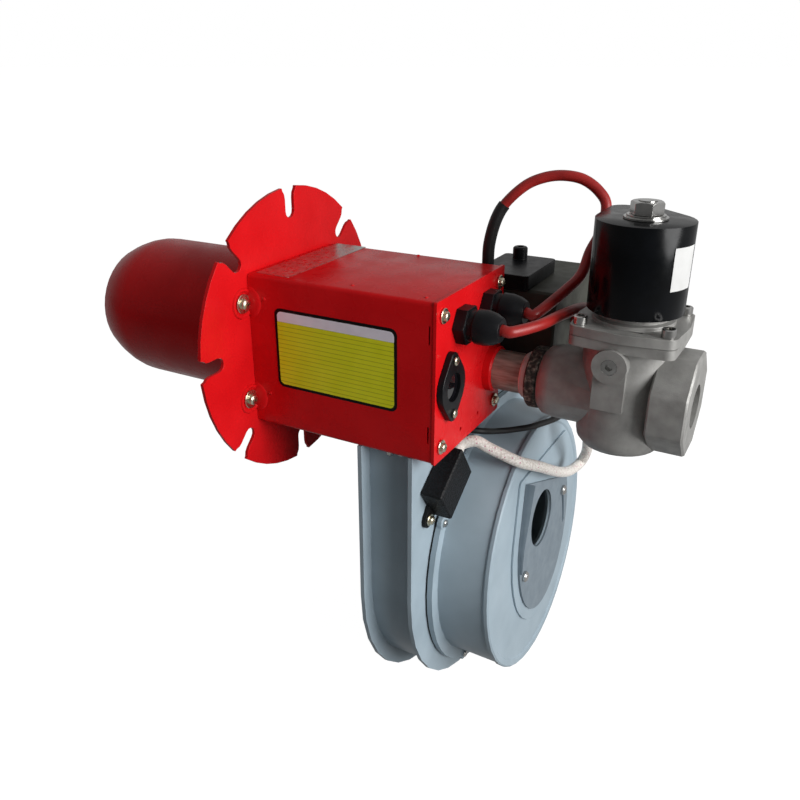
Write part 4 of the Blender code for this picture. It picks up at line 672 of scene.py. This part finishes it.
RIVET = [(0.0, 0.0007), (0.0006, 0.0006), (0.0011, 0.0003), (0.0013, -0.0002), (0.0, -0.0002)]
DOWN = Matrix.Rotation(math.pi, 4, "X")
NEAR = Matrix.Rotation(math.pi / 2, 4, "X")
marks = [("top_rivet_1", at(0.076, -0.0405, TOP_Z)), ("top_rivet_2", at(0.1265, -0.0415, TOP_Z)),
         ("top_rivet_3", at(0.0755, 0.0455, TOP_Z)),
         ("side_nib_1", at(0.0152, SIDE_Y, 0.0362) @ NEAR),
         ("side_nib_2", at(0.0151, SIDE_Y, -0.0286) @ NEAR)]
for name, place in marks:
    piece(name, turned(RIVET, 16), RED, place)
HEXAGON = [(0.0, 0.0024), (0.0021, 0.0024), (0.0026, 0.0019), (0.0026, 0.0), (0.0, 0.0)]
for number, (x, y) in enumerate(((0.1045, -0.0455), (0.1115, -0.0430)), 1):
    piece(f"housing_screw_{number}", turned(HEXAGON, 6), LOOKS["bright_steel"],
          at(x, y, -TOP_Z) @ DOWN)

# %% [markdown]
# ## Screws round the blower's joint
# The two halves of the blower are held by screws in small ears on the joint. Their place comes
# from the two that the photograph shows; the others share out the rest of the circle.

# %% Joint screws
JOINT_CENTRE, JOINT_RADIUS = (0.083, -0.169), 0.1074
EAR_X, EAR_THICK = 0.1236, 0.0038
EAR = [(0.0, 0.0), (0.0046, 0.0), (0.0050, 0.0004), (0.0050, 0.0034), (0.0046, EAR_THICK),
       (0.0, EAR_THICK)]
joint_pattern = pan_screw(0.0, 0.0029, 0.0022, 0.0012, 0.0045)
for number, angle in enumerate((151, 242, 318, 40), 1):
    a = math.radians(angle)
    y = JOINT_CENTRE[0] + JOINT_RADIUS * math.cos(a)
    z = JOINT_CENTRE[1] + JOINT_RADIUS * math.sin(a)
    piece(f"joint_ear_{number}", turned(EAR, 28), LOOKS["grey_paint"],
          at(EAR_X, y, z) @ ALONG_X)
    piece(f"joint_screw_{number}", joint_pattern.copy(), LOOKS["bright_steel"],
          at(EAR_X + EAR_THICK, y, z) @ ALONG_X @ Matrix.Rotation(a, 4, "Z"))
joint_pattern.free()

# %% [markdown]
# ## The air shutter's leaf
# The leaf that covers part of the air inlet is a pressed plate whose upper corner is cut off at a
# slant, with a lip folded up along its left edge as a finger grip. A merged copy of the solid is
# trimmed with a plane and stands in for it. The lip follows the outline that is left, and gets
# lower from the corner down to the pivot.

# %% Shutter leaf
LEAF_TRIM = (Vector((-0.0335, 0.0660)), Vector((0.0500, 0.0325)))    # on the blower's front
leaf = bmesh.new()
leaf.from_mesh(frame["nodes"]["air_shutter"].data)
bmesh.ops.remove_doubles(leaf, verts=leaf.verts, dist=2e-6)
leaf.transform(ON_FACE.inverted())
slope = (LEAF_TRIM[1] - LEAF_TRIM[0]).normalized()
trim(leaf, (*LEAF_TRIM[0], 0), (-slope.y, slope.x, 0))
leaf_top = max(v.co.z for v in leaf.verts)
bmesh.ops.dissolve_limit(leaf, angle_limit=0.01, verts=leaf.verts, edges=leaf.edges)
LIP_THICK, LIP_LOW, LIP_HIGH = 0.0012, 0.0022, 0.0060
LIP_END = -0.0040             # the lip stops at this height on the front, above the pivot
LEFT_SIDE = -0.026            # corners further left than this are on the edge with the lip
LIP_CORNER = 0.5              # radians; the lip's edges that turn by more are rounded
side = sorted({(round(v.co.y, 5), round(v.co.x, 5)) for v in leaf.verts
               if v.co.z > leaf_top - 1e-5 and v.co.y > LIP_END and v.co.x < LEFT_SIDE})
lip = bmesh.new()
rows = []
for y, x in side:
    height = LIP_LOW + (LIP_HIGH - LIP_LOW) * (y - side[0][0]) / (side[-1][0] - side[0][0])
    rows.append([lip.verts.new((x + inward, y, leaf_top - 0.0002 + up))
                 for inward, up in ((0, 0), (LIP_THICK, 0), (LIP_THICK, height), (0, height))])
for lower, upper in zip(rows, rows[1:]):
    for i in range(4):
        lip.faces.new((lower[i], lower[i - 3], upper[i - 3], upper[i]))
lip.faces.new(rows[0])
lip.faces.new(rows[-1])
bmesh.ops.recalc_face_normals(lip, faces=lip.faces)
corners = [e for e in lip.edges if e.calc_face_angle(0.0) > LIP_CORNER]
bmesh.ops.bevel(lip, geom=corners, offset=0.3 * MM, segments=2, profile=0.5, affect="EDGES",
                material=-1)
leaf_piece = piece("air_shutter_leaf", leaf, DULL_PLATE, ON_FACE, "air_shutter",
                   ["air_shutter"])
leaf_edge = leaf_piece.modifiers.new("rounded", "BEVEL")
leaf_edge.width, leaf_edge.segments, leaf_edge.limit_method = 0.35 * MM, 2, "ANGLE"
piece("shutter_lip", lip, DULL_PLATE, ON_FACE, "air_shutter")
print("leaf trimmed along", [round(1000 * c) for c in slope])
print("lip along", len(side), "points of its edge")

# %% [markdown]
# ## The plunger's spring
# When the valve opens, the plunger lifts and its spring is pressed against the armature tube. A
# copy of the spring, with a mesh of its own, stands for the solid.

# %% Plunger spring
wire = bmesh.new()
wire.from_mesh(frame["nodes"]["plunger_spring"].data)
spring = piece("plunger_spring_wire", wire, LOOKS["bright_steel"],
               stands_for=["plunger_spring"])
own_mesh(spring)

# %% [markdown]
# ## Blank labels
# The side carries a printed film with round corners: a black edge, a pale head and a yellow
# field. It is left blank, with ruled lines as on a form that nobody has filled in. The films are
# a few tenths thick, one on another. Rounding four corners is a bevel of a grid's vertices.

# %% Side label
def film(width, height, radius, thickness):
    form = bmesh.new()
    bmesh.ops.create_grid(form, x_segments=1, y_segments=1, size=0.5)
    form.transform(Matrix.Diagonal((width, height, 1.0, 1.0)))
    if radius:
        bmesh.ops.bevel(form, geom=form.verts[:], offset=radius, segments=8, profile=0.5,
                        affect="VERTICES", material=-1)
    sides = bmesh.ops.extrude_face_region(form, geom=form.faces[:])["geom"]
    bmesh.ops.translate(form, verts=[v for v in sides if isinstance(v, bmesh.types.BMVert)],
                        vec=(0, 0, thickness))
    return form


def ruled_film():
    """Yellow vinyl with ruled lines 2.9 mm apart."""
    material, tree, shader, place = finish("ruled_yellow_vinyl", Specular_IOR_Level=0.3)
    textured(tree, shader, place, 16 * MM, [(0.3, "#DCE01C"), (0.7, "#E6E92C")], Detail=4.0)
    split = add(tree, "ShaderNodeSeparateXYZ", links={"Vector": place})
    row = add(tree, "ShaderNodeMath", {1: 1 / (2.9 * MM)}, {0: split.outputs["Z"]},
              operation="MULTIPLY")
    row = add(tree, "ShaderNodeMath", links={0: row.outputs[0]}, operation="FRACT")
    ink = add(tree, "ShaderNodeMapRange", {"From Min": 0.16, "From Max": 0.10, "To Max": 0.55},
              {"Value": row.outputs[0]})
    overprinted(tree, shader, ink.outputs["Result"], "#5B5E14")
    rough_patches(tree, shader, place, 9 * MM, 0.30, 0.42)
    return material


LABEL_X, LABEL_Z = (0.0228, 0.1118), (-0.0213, 0.0320)
LABEL_PLACE = at(sum(LABEL_X) / 2, SIDE_Y, sum(LABEL_Z) / 2) @ NEAR
LABEL_SIZE = (LABEL_X[1] - LABEL_X[0], LABEL_Z[1] - LABEL_Z[0])
BLACK_VINYL = moulded("black_vinyl", "#0E0E0E", "#080808", 0.30, 0.42, Specular_IOR_Level=0.15)
PALE_VINYL = moulded("pale_vinyl", "#F3EFF8", "#E6E1EC", 0.32, 0.45)
EDGE_LINE, HEAD = 0.0020, 0.0066
OUTER_ROUND, INNER_ROUND = 0.0045, 0.0032
piece("label_edge", film(*LABEL_SIZE, OUTER_ROUND, 0.0002), BLACK_VINYL,
      LABEL_PLACE)
inner = (LABEL_SIZE[0] - 2 * EDGE_LINE, LABEL_SIZE[1] - 2 * EDGE_LINE)
piece("label_head", film(*inner, INNER_ROUND, 0.0003), PALE_VINYL, LABEL_PLACE)
field = film(*inner, INNER_ROUND, 0.0004)
trim(field, (0, inner[1] / 2 - HEAD, 0), (0, 1, 0))
piece("label_field", field, ruled_film(), LABEL_PLACE)
print("label:", [round(1000 * s) for s in LABEL_SIZE], "mm")

# %% [markdown]
# ## Foil strip and coil sticker
# A strip of bare foil lies across the top, next to the flange, and mirrors its red. The coil has a
# white paper sticker that follows its round side, so a grid is wrapped on the cylinder.

# %% Foil and sticker
foil = film(0.0250, 0.0940, 0.0008, 0.0003)
piece("foil_strip", foil, bare_foil(), at(0.0190, 0.0020, TOP_Z))

STICKER_ANGLES, STICKER_Z = (-40.0, -4.0), (0.0572, 0.0818)
sticker = bmesh.new()
bmesh.ops.create_grid(sticker, x_segments=20, y_segments=1, size=0.5)
bmesh.ops.solidify(sticker, geom=sticker.faces[:], thickness=0.0002)
for v in sticker.verts:
    a = math.radians(STICKER_ANGLES[0] + (v.co.x + 0.5) * (STICKER_ANGLES[1] - STICKER_ANGLES[0]))
    r = COIL_RADIUS + 0.0001 + abs(v.co.z)
    v.co = (COIL_AXIS[0] + r * math.cos(a), COIL_AXIS[1] + r * math.sin(a),
            STICKER_Z[0] + (v.co.y + 0.5) * (STICKER_Z[1] - STICKER_Z[0]))
PAPER = moulded("sticker_paper", "#D6D6D5", "#CACAC8", 0.45, 0.60)
piece("coil_sticker", sticker, PAPER)

# %% [markdown]
# ## Floor and light
# The burner stands on a pale floor. The camera and transmitted rays see a glowing white, with a
# share of plain matt floor to hold the shadow. That matt share is white for the camera and grey
# for all else, so that little light comes up from it. Reflections see the room darker than the
# camera does, and darkest on the near side, as behind a photographer: a nut has light and dark
# flats. One broad lamp shines along the burner from the valve's end, so the near side is deep red.

# %% Floor and light
FLOOR_GAP = 0.5 * MM          # between the floor and the lowest solid


def seen_directly(tree, path):
    """1.0 for camera, glossy and transmitted rays, 0.0 for the light that falls on things."""
    seen = path.outputs["Is Camera Ray"]
    for ray in ("Is Glossy Ray", "Is Transmission Ray"):
        seen = add(tree, "ShaderNodeMath", links={0: seen, 1: path.outputs[ray]},
                   operation="MAXIMUM").outputs[0]
    return seen


def dark_near_side(tree, path, place, near, far, least, most):
    """1.0, but for glossy rays it rises from least to most between near and far along Y."""
    glossy = path.outputs["Is Glossy Ray"]
    split = add(tree, "ShaderNodeSeparateXYZ", links={"Vector": place})
    dusk = add(tree, "ShaderNodeMapRange",
               {"From Min": near, "From Max": far, "To Min": least, "To Max": most},
               {"Value": split.outputs["Y"]})
    return add(tree, "ShaderNodeMix", {2: 1.0}, {0: glossy, 3: dusk.outputs["Result"]}).outputs[0]


def lay_floor():
    floor_mesh = bmesh.new()
    bmesh.ops.create_grid(floor_mesh, x_segments=1, y_segments=1, size=30.0)
    floor_mesh.transform(at(0.0, 0.0, solid_box[0].z - FLOOR_GAP))
    data = bpy.data.meshes.new("floor")
    floor_mesh.to_mesh(data)
    floor_mesh.free()
    floor = bpy.data.objects.new("floor", data)
    scene.collection.objects.link(floor)
    material = bpy.data.materials.new("pale_floor")
    material.use_nodes = True
    tree = material.node_tree
    tree.nodes.clear()
    path = add(tree, "ShaderNodeLightPath")
    share = add(tree, "ShaderNodeMath", {1: 0.80}, {0: seen_directly(tree, path)},
                operation="MULTIPLY")
    spot = add(tree, "ShaderNodeTexCoord").outputs["Object"]
    dusk = dark_near_side(tree, path, spot, -1.0, 0.1, 0.12, 0.40)
    strength = add(tree, "ShaderNodeMath", {1: 1.22}, {0: dusk}, operation="MULTIPLY")
    shade = add(tree, "ShaderNodeMixRGB",
                {"Color1": colour("#747474"), "Color2": colour("#F4F4F4")},
                {"Fac": path.outputs["Is Camera Ray"]})
    matt = add(tree, "ShaderNodeBsdfDiffuse", links={"Color": shade.outputs["Color"]})
    glow = add(tree, "ShaderNodeEmission", {"Color": colour("#FFFFFF")},
               {"Strength": strength.outputs[0]})
    both = add(tree, "ShaderNodeMixShader",
               links={0: share.outputs[0], 1: matt.outputs[0], 2: glow.outputs[0]})
    add(tree, "ShaderNodeOutputMaterial", links={"Surface": both.outputs[0]})
    data.materials.append(material)


def light_room():
    world = bpy.data.worlds.new("room")
    scene.world = world
    world.use_nodes = True
    tree = world.node_tree
    tree.nodes.clear()
    path = add(tree, "ShaderNodeLightPath")
    level = add(tree, "ShaderNodeMapRange", {"To Min": 0.19, "To Max": 1.0},
                {"Value": seen_directly(tree, path)})
    direction = add(tree, "ShaderNodeTexCoord").outputs["Generated"]
    dusk = dark_near_side(tree, path, direction, -0.9, 0.3, 0.15, 0.48)
    level = add(tree, "ShaderNodeMath", links={0: level.outputs["Result"], 1: dusk},
                operation="MULTIPLY")
    air = add(tree, "ShaderNodeBackground", {"Color": colour("#FFFFFF")},
              {"Strength": level.outputs[0]})
    add(tree, "ShaderNodeOutputWorld", links={"Surface": air.outputs[0]})


def lamp(name, place, target, size, power):
    data = bpy.data.lights.new(name, "AREA")
    data.shape, data.size, data.energy = "DISK", size, power
    obj = bpy.data.objects.new(name, data)
    obj.location = place
    obj.rotation_euler = (Vector(target) - Vector(place)).to_track_quat("-Z", "Y").to_euler()
    scene.collection.objects.link(obj)


lay_floor()
light_room()
lamp("key", (1.28, -0.22, 0.38), (0.05, 0.0, -0.05), 0.9, 19.5)
